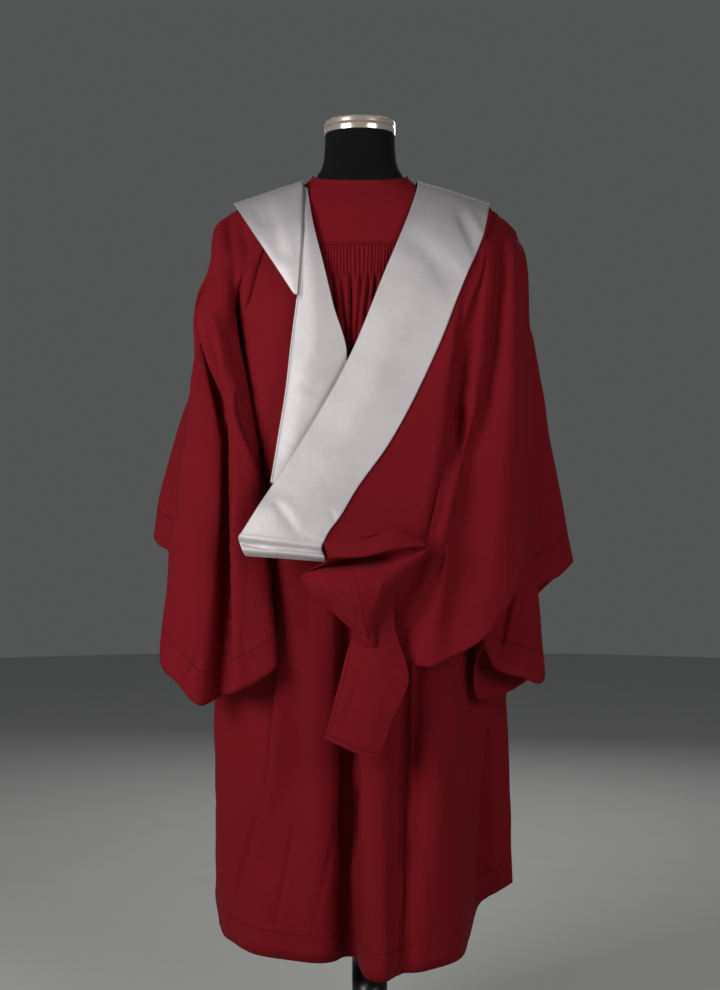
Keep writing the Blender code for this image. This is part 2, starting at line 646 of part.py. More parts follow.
wall("hood_cowl", rows_to_grid(COWL_ROWS, 3, 2), HOOD_WALL, red)
wall("hood_tail", rows_to_grid(TAIL_ROWS, 2, 1), 0.0030, red)
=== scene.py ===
"""Looks of a graduation gown and hood on its dress form, laid out as an add-on."""

import math

import bpy
import mathutils
import numpy as np
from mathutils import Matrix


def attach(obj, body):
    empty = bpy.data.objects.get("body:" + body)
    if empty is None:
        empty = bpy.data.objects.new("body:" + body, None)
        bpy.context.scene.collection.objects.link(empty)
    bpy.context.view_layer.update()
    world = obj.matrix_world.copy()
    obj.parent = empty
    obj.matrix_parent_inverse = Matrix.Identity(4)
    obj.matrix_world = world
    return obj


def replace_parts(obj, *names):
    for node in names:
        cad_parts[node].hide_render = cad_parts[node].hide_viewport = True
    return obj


bl_info = {
    "name": "Graduation gown",
    "version": (1, 0, 0),
    "blender": (4, 5, 0),
    "location": "View3D > Sidebar > Gown",
    "description": "Builds the cloth, form and studio of a graduation gown with its hood",
    "category": "Object",
}

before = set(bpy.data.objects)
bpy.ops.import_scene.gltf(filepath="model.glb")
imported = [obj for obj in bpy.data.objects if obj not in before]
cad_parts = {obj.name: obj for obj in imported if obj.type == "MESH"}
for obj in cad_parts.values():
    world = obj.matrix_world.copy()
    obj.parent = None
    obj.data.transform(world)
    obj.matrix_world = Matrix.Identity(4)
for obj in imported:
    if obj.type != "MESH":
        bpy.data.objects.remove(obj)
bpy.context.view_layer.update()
MM = 0.001

# Sizes of the stand and seams, in metres
CAP_RADIUS = 0.0580
CAP_BOTTOM = 1.5753
CAP_TOP = 1.6000
CAP_DEPTH = -0.012
POST_TOP = 0.7996
SEAM_GAP = 0.0006
FRONT_GAP = 0.0008
SIDE_LAP = 0.0007
TUCK_GAP = 0.0006
FRONT_EASE = 0.0046
ARMHOLE_GAP = 0.0014
BODY_LEAN = -0.016
GOWN_WALL = 0.0018
HOOD_WALL = 0.0022
TAIL_THICKNESS = 0.0026
YOKE_REST = 0.0043
SEAM_HEIGHT = 1.380
STITCH_HEIGHT = 1.325
CHEST_HEIGHT = 1.190
KNEE_HEIGHT = 0.700
ELBOW_HEIGHT = 1.050
ARM_HEIGHT = 1.330
FREE_HEIGHT = 1.34
LET_GO_HEIGHTS = (1.302, 1.322)
# Heights between which painted shade darkens the satin as it turns up over the shoulders
SATIN_SHADE_HEIGHTS = (1.38, 1.50)

# The form's level sections: their middle in millimetres, and how square they are
BODY_MIDDLE = -15
BODY_SQUARENESS = 0.85

# Angles round from the back's middle, in degrees
BACK_CORNER = 60
FRONT_CORNER = 120
PLEAT_REACH = 28
FRONT_EDGE = 160
CORD_REACH = 34

# Sleeve heads: how far they stand out and are lifted, in metres
LEFT_SLEEVE_HEAD = 0.034
RIGHT_SLEEVE_HEAD = 0.022
LEFT_HEAD_LIFT = 0.019
RIGHT_HEAD_LIFT = 0.011

# Steps of the grids
LAP_RINGS = 6
LAP_COLUMNS = 24
HOOD_STEPS = 12
TUCK_STEPS = 16

# By angle: the share of the way to the chest at the stitches, and how far the back puffs out
BACK_EASE = ([-60, -54, -47, -31, -20], [0.30, 0.55, 0.70, 0.60, 0.18])
BACK_PUFF = ([-60, -54, -47], [0.030, 0.022, 0.0])

# Rows of the right band that the cape's five rows lie beside
CAPE_KNOTS = [0, 3, 4.4, 5.7, 9]

# The view and the lights' aim in metres, the sensor in millimetres
VIEW_DISTANCE = 2.5
VIEW_HEIGHT = 0.985
LIGHT_AIM_HEIGHT = 1.15
SENSOR_WIDTH = 36.0

# Metres from one thread, loop or stitch to the next
TWILL_PITCH = 0.0011
YARN_PITCH = 0.0029
RED_STITCH = 0.0042
SATIN_STITCH = 0.0036
RIB_PITCH = 0.0013
LOOP_PITCH = 0.0017

# Stitch lines, metres from the cloth's edge
YOKE_STITCH = 0.0035
BAND_STITCH = 0.0030

# Rows down a hanging panel: 0 seam, 1 stitch line, 2 chest, 3 knee, 4 hem
DOWN_PLACES = np.concatenate([np.linspace(0, 1, 22, endpoint=False),
                              np.linspace(1, 2, 18, endpoint=False),
                              np.linspace(2, 3, 24, endpoint=False), np.linspace(3, 4, 25)])

# Cap, post and base profiles: radius, height
CAP_PROFILE = [(0, CAP_BOTTOM), (CAP_RADIUS - 0.001, CAP_BOTTOM), (CAP_RADIUS, CAP_BOTTOM + 0.0015),
               (CAP_RADIUS, CAP_TOP - 0.0045), (CAP_RADIUS - 0.0012, CAP_TOP - 0.0030),
               (CAP_RADIUS * 0.55, CAP_TOP - 0.0008), (0.0, CAP_TOP)]
POST_PROFILE = [(0.0, 0.0166), (0.052, 0.0166), (0.052, 0.034), (0.046, 0.042), (0.030, 0.060),
                (0.0255, 0.075), (0.0255, 0.110), (0.029, 0.118), (0.029, 0.270),
                (0.0315, 0.275), (0.0315, 0.285), (0.029, 0.290), (0.029, POST_TOP), (0.0, POST_TOP)]
BASE_PROFILE = [(0.0, 0.0), (0.186, 0.0), (0.190, 0.003), (0.190, 0.009), (0.184, 0.0145),
                (0.160, 0.016), (0.06, 0.016), (0.0, 0.016)]

# Lights: name, place, size across and down, watts, colour
STUDIO_LIGHTS = [
    ("softbox_left", (-1.55, -1.55, 1.55), (0.9, 1.1), 37.0, (1.0, 0.985, 0.97)),
    ("softbox_right", (1.25, -1.60, 1.45), (0.9, 1.1), 13.0, (1.0, 0.985, 0.97)),
    ("soft_back", (0.4, 2.8, 2.3), (1.8, 1.2), 24.0, (1.0, 1.0, 1.0)),
]
WORLD_COLOUR = (0.32, 0.335, 0.335, 1.0)
WORLD_STRENGTH = 0.27
FLOOR_RINGS = [0.02, 1.0, 3.0, 7.0]
FLOOR_AROUND = 128

# Form, millimetres: height, half width, back, front
BODY = [
    (1575, 57, -70, 47), (1548, 58, -72, 46), (1520, 63, -76, 46), (1504, 72, -80, 47),
    (1490, 84, -84, 49), (1482, 95, -86, 51), (1474, 112, -88, 53), (1461, 140, -91, 57),
    (1447, 166, -95, 63), (1430, 183, -100, 70), (1405, 193, -106, 84), (1370, 195, -111, 99),
    (1310, 187, -112, 116), (1250, 179, -110, 125), (1180, 163, -102, 115),
    (1110, 144, -90, 100), (1060, 138, -84, 94), (1000, 146, -86, 98), (920, 158, -94, 102),
    (850, 164, -98, 102), (815, 160, -94, 98), (800, 150, -86, 90),
]

# Yoke: angle round from the back's middle, neck edge height, outer edge height
YOKE = [
    (0, 1485, 1380), (30, 1487, 1380), (60, 1495, 1380), (72, 1499, 1412), (82, 1503, 1436),
    (90, 1505, 1443), (100, 1499, 1437), (110, 1489, 1417), (120, 1478, 1400),
    (140, 1458, 1396), (160, 1440, 1394),
]

# Back folds, left to right: seam angle, chest x y, knee x y, hem x y z
BACK_FOLDS = [
    (-60, -206, -8, -239, 2, -234, 22, 270),
    (-54, -192, -62, -229, -38, -222, -22, 262),
    (-47, -177, -92, -202, -64, -206, -44, 258),
    (-39, -152, -106, -162, -84, -190, -66, 255),
    (-31, -118, -120, -130, -108, -166, -84, 251),
    (-22, -86, -128, -84, -120, -115, -94, 245),
    (-13, -54, -134, -42, -126, -60, -103, 243),
    (-7, -30, -122, -18, -106, -20, -84, 241),
    (-2, -12, -123, -10, -108, -6, -92, 239),
    (3, 8, -136, -2, -142, 12, -150, 234),
    (10, 38, -134, 32, -146, 36, -164, 232),
    (18, 66, -124, 72, -122, 62, -142, 236),
    (27, 98, -130, 104, -138, 104, -137, 241),
    (36, 130, -116, 136, -126, 160, -100, 251),
    (44, 152, -98, 152, -104, 178, -50, 268),
    (51, 176, -72, 178, -66, 196, 6, 308),
    (56, 192, -46, 216, -38, 226, 16, 324),
    (60, 206, -8, 241, 0, 254, 26, 338),
]

# Front folds from the side seam: seam angle, chest x y, knee x y, hem x y z
FRONT_FOLDS = [
    (123, 194, 60, 230, 74, 244, 84, 320),
    (128, 172, 98, 198, 106, 204, 116, 300),
    (134, 144, 118, 164, 142, 170, 150, 286),
    (141, 108, 134, 124, 134, 126, 142, 272),
    (150, 72, 144, 84, 156, 80, 164, 264),
    (160, 50, 144, 52, 150, 50, 158, 262),
]

# Left sleeve folds: share of the armhole's round, upper arm x y, elbow x y, hem x y z
LEFT_SLEEVE = [
    (0.00, 241, 12, 316, 12, 345, 22, 918),
    (0.05, 241, -16, 300, -22, 330, -16, 902),
    (0.07, 240, -30, 281, -38, 304, -44, 886),
    (0.09, 242, -46, 285, -72, 318, -92, 720),
    (0.12, 251, -56, 256, -96, 288, -122, 690),
    (0.15, 249, -64, 219, -108, 249, -132, 655),
    (0.17, 243, -66, 209, -90, 220, -102, 666),
    (0.20, 244, -92, 199, -134, 198, -150, 677),
    (0.24, 224, -112, 180, -140, 168, -152, 690),
    (0.28, 197, -99, 162, -126, 134, -146, 713),
    (0.32, 198, -92, 159, -113, 130, -136, 722),
    (0.37, 200, -70, 176, -106, 166, -112, 740),
    (0.43, 208, -50, 203, -80, 222, -68, 765),
    (0.50, 217, -24, 230, -44, 262, -46, 800),
    (0.60, 220, 20, 238, 0, 272, 0, 850),
    (0.72, 216, 66, 240, 78, 276, 76, 890),
    (0.87, 236, 62, 282, 82, 312, 78, 914),
]

# Right sleeve folds, the same columns
RIGHT_SLEEVE = [
    (0.00, 258, 12, 318, 12, 355, 16, 874),
    (0.08, 252, -14, 298, -16, 328, -14, 852),
    (0.14, 240, -34, 276, -34, 282, -42, 822),
    (0.18, 230, -50, 262, -50, 295, -80, 690),
    (0.23, 222, -70, 238, -72, 252, -108, 697),
    (0.28, 208, -86, 210, -90, 212, -114, 712),
    (0.33, 198, -92, 186, -106, 196, -116, 742),
    (0.38, 198, -84, 182, -104, 184, -102, 716),
    (0.43, 210, -64, 200, -88, 184, -88, 668),
    (0.49, 218, -34, 224, -62, 200, -78, 657),
    (0.57, 220, 12, 232, -10, 256, -56, 676),
    (0.66, 218, 58, 234, 42, 283, -36, 702),
    (0.78, 222, 74, 242, 82, 288, 42, 800),
    (0.90, 244, 56, 286, 76, 338, 46, 854),
]

# Right hood band from the front point: left x y z, middle x y z, right x y z
BAND_RIGHT = [
    (6, 144, 1312, 18, 145, 1304, 30, 144, 1296),
    (44, 125, 1392, 72, 131, 1378, 100, 124, 1364),
    (78, 67, 1466, 118, 73, 1443, 158, 73, 1418),
    (90, 10, 1495, 142, 15, 1477, 196, 19, 1453),
    (93, -40, 1495, 150, -36, 1479, 210, -30, 1460),
    (92, -73, 1479, 148, -71, 1463, 206, -64, 1439),
    (77, -109, 1430, 136, -107, 1416, 194, -96, 1392),
    (39, -134, 1336, 103, -138, 1334, 167, -130, 1330),
    (-15, -152, 1203, 50, -164, 1203, 116, -152, 1203),
    (-95, -178, 1060, -27, -186, 1060, 42, -180, 1060),
    (-144, -194, 985, -78, -204, 985, -11, -200, 985),
    (-155, -201, 968, -90, -210, 962, -26, -211, 959),
    (-180, -207, 928, -118, -220, 922, -54, -223, 916),
    (-184, -208, 922, -121, -222, 914, -57, -226, 907),
    (-183, -204, 913, -120, -216, 906, -56, -220, 899),
    (-179, -209, 903, -117, -222, 899, -53, -226, 893),
    (-174, -199, 893, -114, -210, 889, -50, -214, 884),
]

# Left long band from under the neck edge: outer x y z, middle x y z, inner x y z
BAND_LEFT = [
    (-92, -75, 1480, -88, -80, 1478, -84, -83, 1475),
    (-92, -110, 1424, -84, -114, 1422, -75, -114, 1419),
    (-95, -128, 1352, -77, -132, 1349, -57, -130, 1346),
    (-99, -134, 1296, -70, -140, 1290, -42, -137, 1284),
    (-108, -139, 1222, -64, -148, 1212, -20, -142, 1202),
    (-117, -146, 1142, -78, -156, 1132, -38, -151, 1122),
    (-128, -156, 1070, -101, -164, 1062, -74, -162, 1054),
    (-138, -170, 1004, -125, -174, 1000, -112, -174, 996),
]

# Left shoulder piece from the front point: outer x y z, middle x y z, inner x y z
SHOULDER_LEFT = [
    (-30, 144, 1296, -18, 145, 1304, -6, 144, 1312),
    (-100, 124, 1364, -72, 131, 1378, -44, 125, 1392),
    (-158, 73, 1418, -118, 73, 1443, -78, 67, 1466),
    (-196, 19, 1452, -142, 15, 1476, -90, 10, 1494),
    (-207, -24, 1462, -148, -36, 1478, -92, -42, 1493),
    (-192, -68, 1437, -143, -80, 1464, -92, -81, 1484),
    (-166, -102, 1396, -132, -112, 1415, -91, -117, 1426),
    (-132, -126, 1344, -115, -131, 1350, -94, -133, 1352),
    (-103, -139, 1299, -101, -140, 1298, -98, -141, 1297),
]

# Cape ribs from under the band outward: shoulder, blade, waist, hip, hem, each x y z
CAPE_RIBS = [
    (216, -34, 1447, 180, -130, 1306, 132, -158, 1156, 100, -174, 1000, 60, -200, 916),
    (219, -34, 1446, 186, -122, 1300, 150, -138, 1096, 98, -168, 892, 44, -180, 742),
    (223, -34, 1443, 198, -124, 1296, 172, -148, 1110, 134, -178, 908, 99, -200, 724),
    (228, -32, 1438, 218, -110, 1296, 194, -128, 1120, 166, -150, 930, 139, -190, 737),
    (237, -27, 1434, 240, -104, 1296, 228, -128, 1103, 211, -148, 900, 185, -178, 761),
    (246, -23, 1427, 256, -84, 1298, 253, -108, 1092, 249, -122, 930, 231, -144, 813),
    (256, -17, 1418, 273, -54, 1301, 271, -86, 1092, 269, -98, 990, 262, -110, 884),
]

# Cowl rows from the lip down: five points across, left to right, each x y z
COWL_ROWS = [
    (-55, -229.3, 914, -20, -226, 917, 17, -221, 922, 52, -216, 931, 92, -206, 918),
    (-53, -233.2, 909, -20, -234, 907, 17, -231, 911, 52, -227, 919, 98, -214, 909),
    (-49, -235.9, 892, -19, -237, 892, 10, -236, 894, 44, -231, 902, 88, -218, 908),
    (-49, -229.9, 887, -20, -227, 892, 10, -225, 896, 46, -221, 903, 87, -213, 905),
    (-77, -208, 871, -30, -188, 879, 13, -190, 883, 51, -209, 891, 87, -207, 900),
    (-90, -216, 863, -63, -222, 869, -16, -227, 871, 37, -226, 874, 98, -212, 897),
    (-88, -217, 858, -55, -231, 854, -13, -240, 852, 38, -234, 858, 78, -206, 870),
    (-73, -217, 836, -43, -231, 830, -7, -240, 827, 26, -232, 829, 51, -206, 833),
    (-40, -216, 807, -22, -228, 804, -1, -234, 801, 16, -228, 802, 30, -210, 802),
    (-7, -218, 778, 2, -223, 774, 10, -226, 771, 16, -223, 773, 22, -214, 782),
    (13, -220, 759, 15, -221, 757, 17, -221.5, 757, 20, -221, 758, 23, -217, 765),
]

# Tail rows from the top down: five points across, left to right, each x y z
TAIL_ROWS = [
    (-4, -200, 831, 10, -202, 833, 25, -202.9, 835, 40, -202.9, 836, 52, -201, 838),
    (-14, -208, 765, 4, -212, 760, 23, -213, 758, 43, -209, 764, 55, -204, 774),
    (-21, -213, 743, 1, -217, 733, 25, -217, 730, 49, -212, 728, 68, -206, 735),
    (-29, -214, 711, -5, -218, 706, 22, -218, 704, 51, -214, 701, 74, -208, 708),
    (-39, -213, 672, -14, -217, 666, 10, -217, 663, 37, -214, 666, 64, -210, 676),
    (-49, -212, 634, -25, -215, 627, -1, -215, 621, 25, -213, 620, 48, -210, 641),
    (-54, -211, 616, -29, -213, 605, -7, -213, 595, 16, -212, 587, 30, -210, 590),
]

# Creases: three points of the line (x z, x z, x z) in millimetres on the plane through the form's
# middle as the view sees it, the width on each side of the line, and the height, below 0 a trough
BACK_CREASES = [
    (-189.3, 1370, -177.7, 1233, -138.1, 944, 11.6, 39.7, 8),  # ridge beside the sleeve
    (-133.1, 729, -144.7, 572, -151.3, 481, 3.3, 19.8, 8),  # left fold, over the panel beside it
    (-137.2, 720, -148, 572, -154.6, 489, 5, 2.6, -6),  # shadow line of the left fold
    (-152.9, 505, -177.7, 421, -210.8, 295, 5, 2.6, -5),  # its lower run
    (-148, 514, -172.8, 424, -207.5, 291, 3.3, 16.5, 7),  # its lower run
    (-12.4, 745, -15.7, 415, -17.4, 34, 14.9, 8.3, -26),  # deep valley in the middle
    (83.5, 762, 71.9, 514, 71.9, 150, 4.3, 14.9, -16),  # valley right of the middle
    (139.7, 720, 167.8, 540, 189.3, 307, 14.9, 3.3, 9),  # front edge of the right fold
    (146.3, 712, 172.8, 540, 192.6, 307, 2.6, 6.6, -6),  # shadow line beside it
    (215.8, 646, 204.2, 497, 192.6, 340, 2.3, 6.6, -5),  # second line of the right fold
    (222.4, 663, 205.8, 522, 192.6, 315, 3.3, 24.8, -13),  # side fold
    (-174.4, 421, -161.2, 385, -146.3, 348, 8.3, 8.3, -7),  # dent left
    (-108.3, 448, -124.8, 357, -143, 274, 3.3, 6.6, -2.6),  # soft crease left
    (-35.5, 461, -58.7, 357, -83.5, 259, 3.3, 6.6, -2.6),  # soft crease middle
    (110, 340, 123.2, 327, 136.4, 315, 13.2, 13.2, -4),  # dent right
    (-78.5, 745, -71.9, 580, -78.5, 315, 23.1, 26.5, 7),  # soft rise left
    (116.6, 663, 126.5, 497, 116.6, 266, 23.1, 19.8, 6),  # soft rise right
    # pleats that open below the stitches, and the rises between them
    (-47.1, 1354, -45.5, 1334, -42.2, 1281, 2.6, 2.6, -4),
    (-30.6, 1345, -28.1, 1299, -24, 1225, 2.3, 2.6, -4),
    (-15.7, 1354, -14.1, 1299, -14.1, 1200, 3, 3, -5.5),
    (-37.2, 1347, -35.5, 1307, -30.6, 1233, 5, 5, 5),
    (-21.5, 1347, -20.7, 1299, -17.4, 1225, 4, 4, 6),
    (-5.8, 1350, -6.6, 1299, -10.7, 1221, 5, 5, 6),
    (2.5, 1349, 0.8, 1324, -4.1, 1241, 2.1, 2.1, -3),
    (8.3, 1349, 5.8, 1307, 0.8, 1250, 4, 4, 5),
    (14.1, 1354, 14.1, 1327, 7.4, 1258, 2.6, 2.6, -5),
    (20.7, 1349, 19, 1321, 14.1, 1274, 3.6, 3.6, 4),
    (27.3, 1354, 25.6, 1327, 20.7, 1283, 2.6, 2.6, -4.5),
    (33.9, 1354, 32.2, 1334, 27.3, 1301, 3.6, 3.6, 3.5),
    (42.2, 1360, 40.5, 1344, 35.5, 1311, 2.1, 2.1, -3),
    (96.7, 423, 136.4, 418, 179.4, 421, 2.5, 2.5, -1.2),  # small pucker
]
SLEEVE_LEFT_CREASES = [
    (-217.4, 1453, -209.2, 1370, -197.6, 1250, 9.9, 8.3, -5),  # long soft valley
    (-250.5, 1288, -242.2, 1225, -210.8, 1135, 3.6, 21.5, 9),  # fold edge over the outer part
    (-212.5, 1175, -210.8, 977, -207.5, 646, 2.6, 14.9, 6),  # its straight run
    (-253.8, 1283, -237.3, 1200, -220.7, 1076, 9.9, 5, -14),  # dark hollow beside it
    (-222.4, 1109, -217.4, 911, -220.7, 663, 8.3, 5, -10),  # deep valley
    (-229, 1208, -225.7, 1126, -222.4, 1026, 3.6, 3.6, 3),  # narrow rise
    (-212.5, 1155, -192.6, 1076, -151.3, 987, 14.9, 2.6, 8),  # slanting fold
    (-268.7, 1233, -283.6, 1092, -310, 889, 2.6, 16.5, 5),  # left edge of the face
    (-273.6, 1258, -290.2, 1109, -316.6, 919, 8.3, 5, -4),  # hollow of the outer strip
    (-262.1, 1258, -270.3, 1205, -280.3, 1126, 2.6, 2.6, 1.5),  # thin rise of the outer strip
    (-263.7, 720, -276.9, 699, -290.2, 663, 6.6, 6.6, -3.5),  # soft dent at the hem
    (-248.8, 709, -240.6, 706, -229, 720, 3.3, 3.3, -2),  # pucker at the hem
    (-195.9, 770, -192.6, 745, -187.7, 720, 3.3, 3.3, -1.8),  # crease of the inner panel
    (-197.6, 720, -186, 704, -174.4, 691, 5, 5, -2),  # crease of the inner panel
    (-243.9, 1109, -270.3, 911, -286.9, 729, 26.5, 26.5, 5),  # soft rise of the face
    (-237.3, 1448, -230.6, 1374, -217.4, 1258, 11.6, 13.2, 4),  # soft rise below the shoulder
]
SLEEVE_RIGHT_CREASES = [
    (283.6, 1241, 291.8, 1076, 298.4, 877, 8.3, 9.9, -7),  # hollow beside the cape
    (288.5, 1175, 316.6, 1026, 338.1, 877, 8.3, 8.3, 3),  # rise of the outer edge
    (258.8, 844, 245.5, 787, 232.3, 729, 6.6, 3.3, -9),  # dark wedge
    (275.3, 828, 272, 745, 278.6, 679, 8.3, 8.3, 3),  # soft rise
    (263.7, 836, 267, 795, 276.9, 762, 2.6, 2.6, -2),  # crease
    (230.6, 744, 262.1, 742, 298.4, 742, 2.1, 2.1, -1.2),  # level crease
    (199.2, 744, 215.8, 744, 234, 745, 3.3, 6.6, 4),  # small fold
]
CAPE_CREASES = [
    (186, 1390, 159.6, 1241, 148, 1026, 3.6, 18.2, -17),  # valley below the shoulder
    (230.6, 1420, 222.4, 1266, 179.4, 1026, 5, 14.9, -13),  # second valley
    (144.7, 1142, 136.4, 993, 96.7, 877, 26.5, 6.6, 13),  # edge of the bag's front
    (156.2, 1142, 154.6, 952, 63.7, 737, 8.3, 28.1, -13),  # valley beside the bag
    (250.5, 1390, 253.8, 1241, 252.1, 1026, 11.6, 11.6, 3.5),  # soft rise
    (263.7, 1407, 270.3, 1258, 268.7, 1092, 5, 5, -2.5),  # soft valley near the edge
    (219.1, 1026, 182.7, 877, 133.1, 745, 16.5, 23.1, -3),  # soft valley
    (205.8, 1258, 195.9, 1092, 182.7, 1010, 13.2, 13.2, 3),  # soft rise
    (245.5, 1030, 238.9, 1013, 229, 1000, 3.3, 3.3, -1.6),  # crease near the edge
    (272, 1006, 265.4, 987, 255.5, 973, 3.3, 3.3, -1.2),  # crease near the edge
    (152.9, 1155, 161.2, 1149, 169.5, 1139, 2.5, 2.5, -1.5),  # dent
]
BAND_RIGHT_CREASES = [
    (67, 1410, 126.5, 1370, 169.5, 1271, 14.9, 19.8, -5),  # soft hollow below the shoulder
    (159.6, 1453, 179.4, 1415, 199.2, 1370, 6.6, 11.6, -4),  # hollow at the outer edge
    (176.1, 1459, 192.6, 1430, 205.8, 1410, 8.3, 6.6, 3),  # its rise
    (149.6, 1370, 162.9, 1347, 179.4, 1324, 5, 5, -2),  # small crease at the edge
    (-144.7, 977, -124.8, 950, -95.1, 909, 6.6, 9.9, -1.8),  # long crease above the fold
    (-124.8, 982, -108.3, 955, -85.2, 919, 9.9, 9.9, 0.6),  # rise beside it
    (-48.8, 963, -43.8, 947, -35.5, 932, 3.6, 3.6, -2),  # pucker
    (-62, 927, -55.4, 920, -43.8, 916, 3, 3, -1.8),  # pucker
    (-98.4, 924, -88.5, 917, -76.9, 911, 2.6, 2.6, -1),  # pucker
    (-15.7, 1030, -9.1, 1021, 0.8, 1015, 6.6, 6.6, -2.2),  # dent
    (-48.8, 1013, -55.4, 1006, -62, 1000, 9.9, 9.9, -1.4),  # dent
    (-197.6, 909, -171.1, 899, -114.9, 891, 2.6, 2.6, -1.6),  # crease of the strip
    (-177.7, 904, -131.4, 897, -71.9, 892, 2.6, 2.6, 1.3),  # rise of the strip
]
COWL_CREASES = [
    (30.6, 907, 60.3, 912, 95.1, 902, 2, 2.6, -2.4),  # tuck of the roll
    (-60.3, 897, -12.4, 889, 47.1, 899, 1.3, 1.3, -0.9),  # lip stitches
    (-22.3, 919, -24, 909, -25.6, 897, 2, 2, -1.2),  # crease
    (-16.5, 858, -9.1, 803, 0.8, 752, 1.3, 1.3, -1.5),  # seam
    (-5, 858, 4.1, 803, 14.1, 752, 1.3, 1.3, -1.5),  # seam
    (-101.7, 856, -88.5, 849, -68.6, 858, 2.6, 5, -4),  # fold at the left
    (0.8, 758, 9.1, 750, 19, 745, 2, 2, -2.5),  # tuck at the tip
    (14.1, 765, 15.7, 752, 20.7, 740, 2, 2, -2),  # tuck at the tip
    (42.2, 853, 27.3, 811, 14.1, 765, 8.3, 4.1, 2.5),  # soft fold of the cone
    (-68.6, 831, -42.2, 806, -15.7, 775, 8.3, 8.3, -2),  # soft hollow of the cone
]
TAIL_CREASES = [
    (-12.4, 737, -25.6, 676, -52.1, 583, 1.5, 1.5, -1.8),  # folded edge
    (19, 735, 48.8, 711, 83.5, 697, 1.7, 13.2, 4),  # edge of the bag over the tail
    (70.3, 672, 78.5, 666, 85.2, 659, 2.3, 2.3, -1.5),  # pucker
    (65.3, 649, 70.3, 644, 78.5, 639, 2.3, 2.3, -1.2),  # pucker
    (14.1, 720, -12.4, 646, -32.2, 580, 8.3, 9.9, -2),  # soft hollow
    (43.8, 704, 30.6, 638, 10.7, 563, 11.6, 11.6, 1.5),  # soft rise
]
BAND_LEFT_CREASES = [
    (-103.3, 1324, -114.9, 1167, -146.3, 998, 1.7, 1.7, -0.8),  # stitched fold edge
    (-98.4, 1175, -81.8, 1162, -62, 1168, 9.9, 9.9, -1.8),  # soft dent
    (-48.8, 1307, -62, 1225, -98.4, 1076, 13.2, 13.2, -1.2),  # soft hollow
]
SHOULDER_LEFT_CREASES = [
    (-161.2, 1479, -144.7, 1436, -124.8, 1370, 14.9, 11.6, -3),  # soft hollow
    (-98.4, 1496, -93.4, 1464, -93.4, 1431, 5, 3.3, -2.5),  # hollow by the fold
    (-187.7, 1453, -161.2, 1407, -124.8, 1347, 8.3, 9.9, 1.6),  # soft rise
    (-181, 1464, -171.1, 1453, -161.2, 1430, 6.6, 6.6, -1.6),  # crease
]
FRONT_CREASES = [
    (150, 1100, 165, 800, 190, 380, 9, 14, -6),
    (95, 1150, 108, 820, 118, 300, 14, 10, 5),
    (70, 900, 78, 600, 84, 270, 8, 12, -5),
    (190, 1000, 205, 700, 226, 420, 10, 8, -4),
    (60, 1250, 66, 1100, 80, 900, 8, 10, -3),
]
SLEEVE_FRONT_CREASES = [
    (262, 1380, 280, 1200, 300, 930, 9, 7, -9),
    (240, 1300, 250, 1150, 270, 880, 7, 10, -7),
    (300, 1300, 312, 1150, 330, 930, 8, 8, -5),
    (228, 1200, 240, 1000, 262, 850, 10, 8, 5),
]


def spline(knots, values, at):
    """Cubic between rising knots: each span is a Hermite curve whose end slopes are the
    span-weighted means of the slopes beside them."""
    knots = np.asarray(knots, float)
    values = np.asarray(values, float)
    at = np.asarray(at, float)
    wide = (-1,) + (1,) * (values.ndim - 1)
    run = np.diff(knots)
    slope = np.diff(values, axis=0) / run.reshape(wide)
    weight = (run[1:] / (run[1:] + run[:-1])).reshape(wide)
    inner = slope[:-1] * weight + slope[1:] * (1 - weight)
    tangent = np.concatenate([slope[:1], inner, slope[-1:]])
    at = np.clip(at, knots[0], knots[-1])
    i = np.clip(np.searchsorted(knots, at, side="right") - 1, 0, len(knots) - 2)
    full = at.shape + (1,) * (values.ndim - 1)
    span = run[i].reshape(full)
    t = ((at - knots[i]) / run[i]).reshape(full)
    return (values[i] * (2 * t**3 - 3 * t**2 + 1) + values[i + 1] * (3 * t**2 - 2 * t**3)
            + tangent[i] * span * (t**3 - 2 * t**2 + t)
            + tangent[i + 1] * span * (t**3 - t**2))


def through(rows, places, closed=False):
    """Rows at the given row places, on a cubic whose knots are the mean distances of the rows."""
    rows = np.asarray(rows, float)
    places = np.asarray(places, float)
    if closed:
        rows = np.concatenate([rows[-3:], rows, rows[:3]])
        places = places + 3
    apart = np.diff(rows, axis=0).reshape(len(rows) - 1, -1, rows.shape[-1])
    length = np.linalg.norm(apart, axis=2).mean(axis=1)
    knots = np.concatenate([[0], np.cumsum(length)])
    return spline(knots, rows, np.interp(places, np.arange(len(rows)), knots))


def through_down(grid, places):
    """The same down the columns of a grid."""
    return np.swapaxes(through(np.swapaxes(grid, 0, 1), places), 0, 1)


def squares(across, down):
    """Step numbers across and down of every square of a grid."""
    i, j = np.meshgrid(np.arange(across), np.arange(down), indexing="ij")
    return i.reshape(-1, 1), j.reshape(-1, 1)


def spread(rows, across, down):
    """A grid from rows of x y z triples, with so many steps to each span both ways."""
    rows = np.asarray(rows, float).reshape(len(rows), -1, 3) * MM
    grid = through(rows, np.arange((len(rows) - 1) * down + 1) / down)
    grid = np.swapaxes(grid, 0, 1)
    return through(grid, np.arange((len(grid) - 1) * across + 1) / across)


def look_up(table, column, at):
    """A smooth value from a table whose first column runs up or down."""
    table = np.asarray(table, float)
    table = table[np.argsort(table[:, 0])]
    return spline(table[:, 0], table[:, column], at)


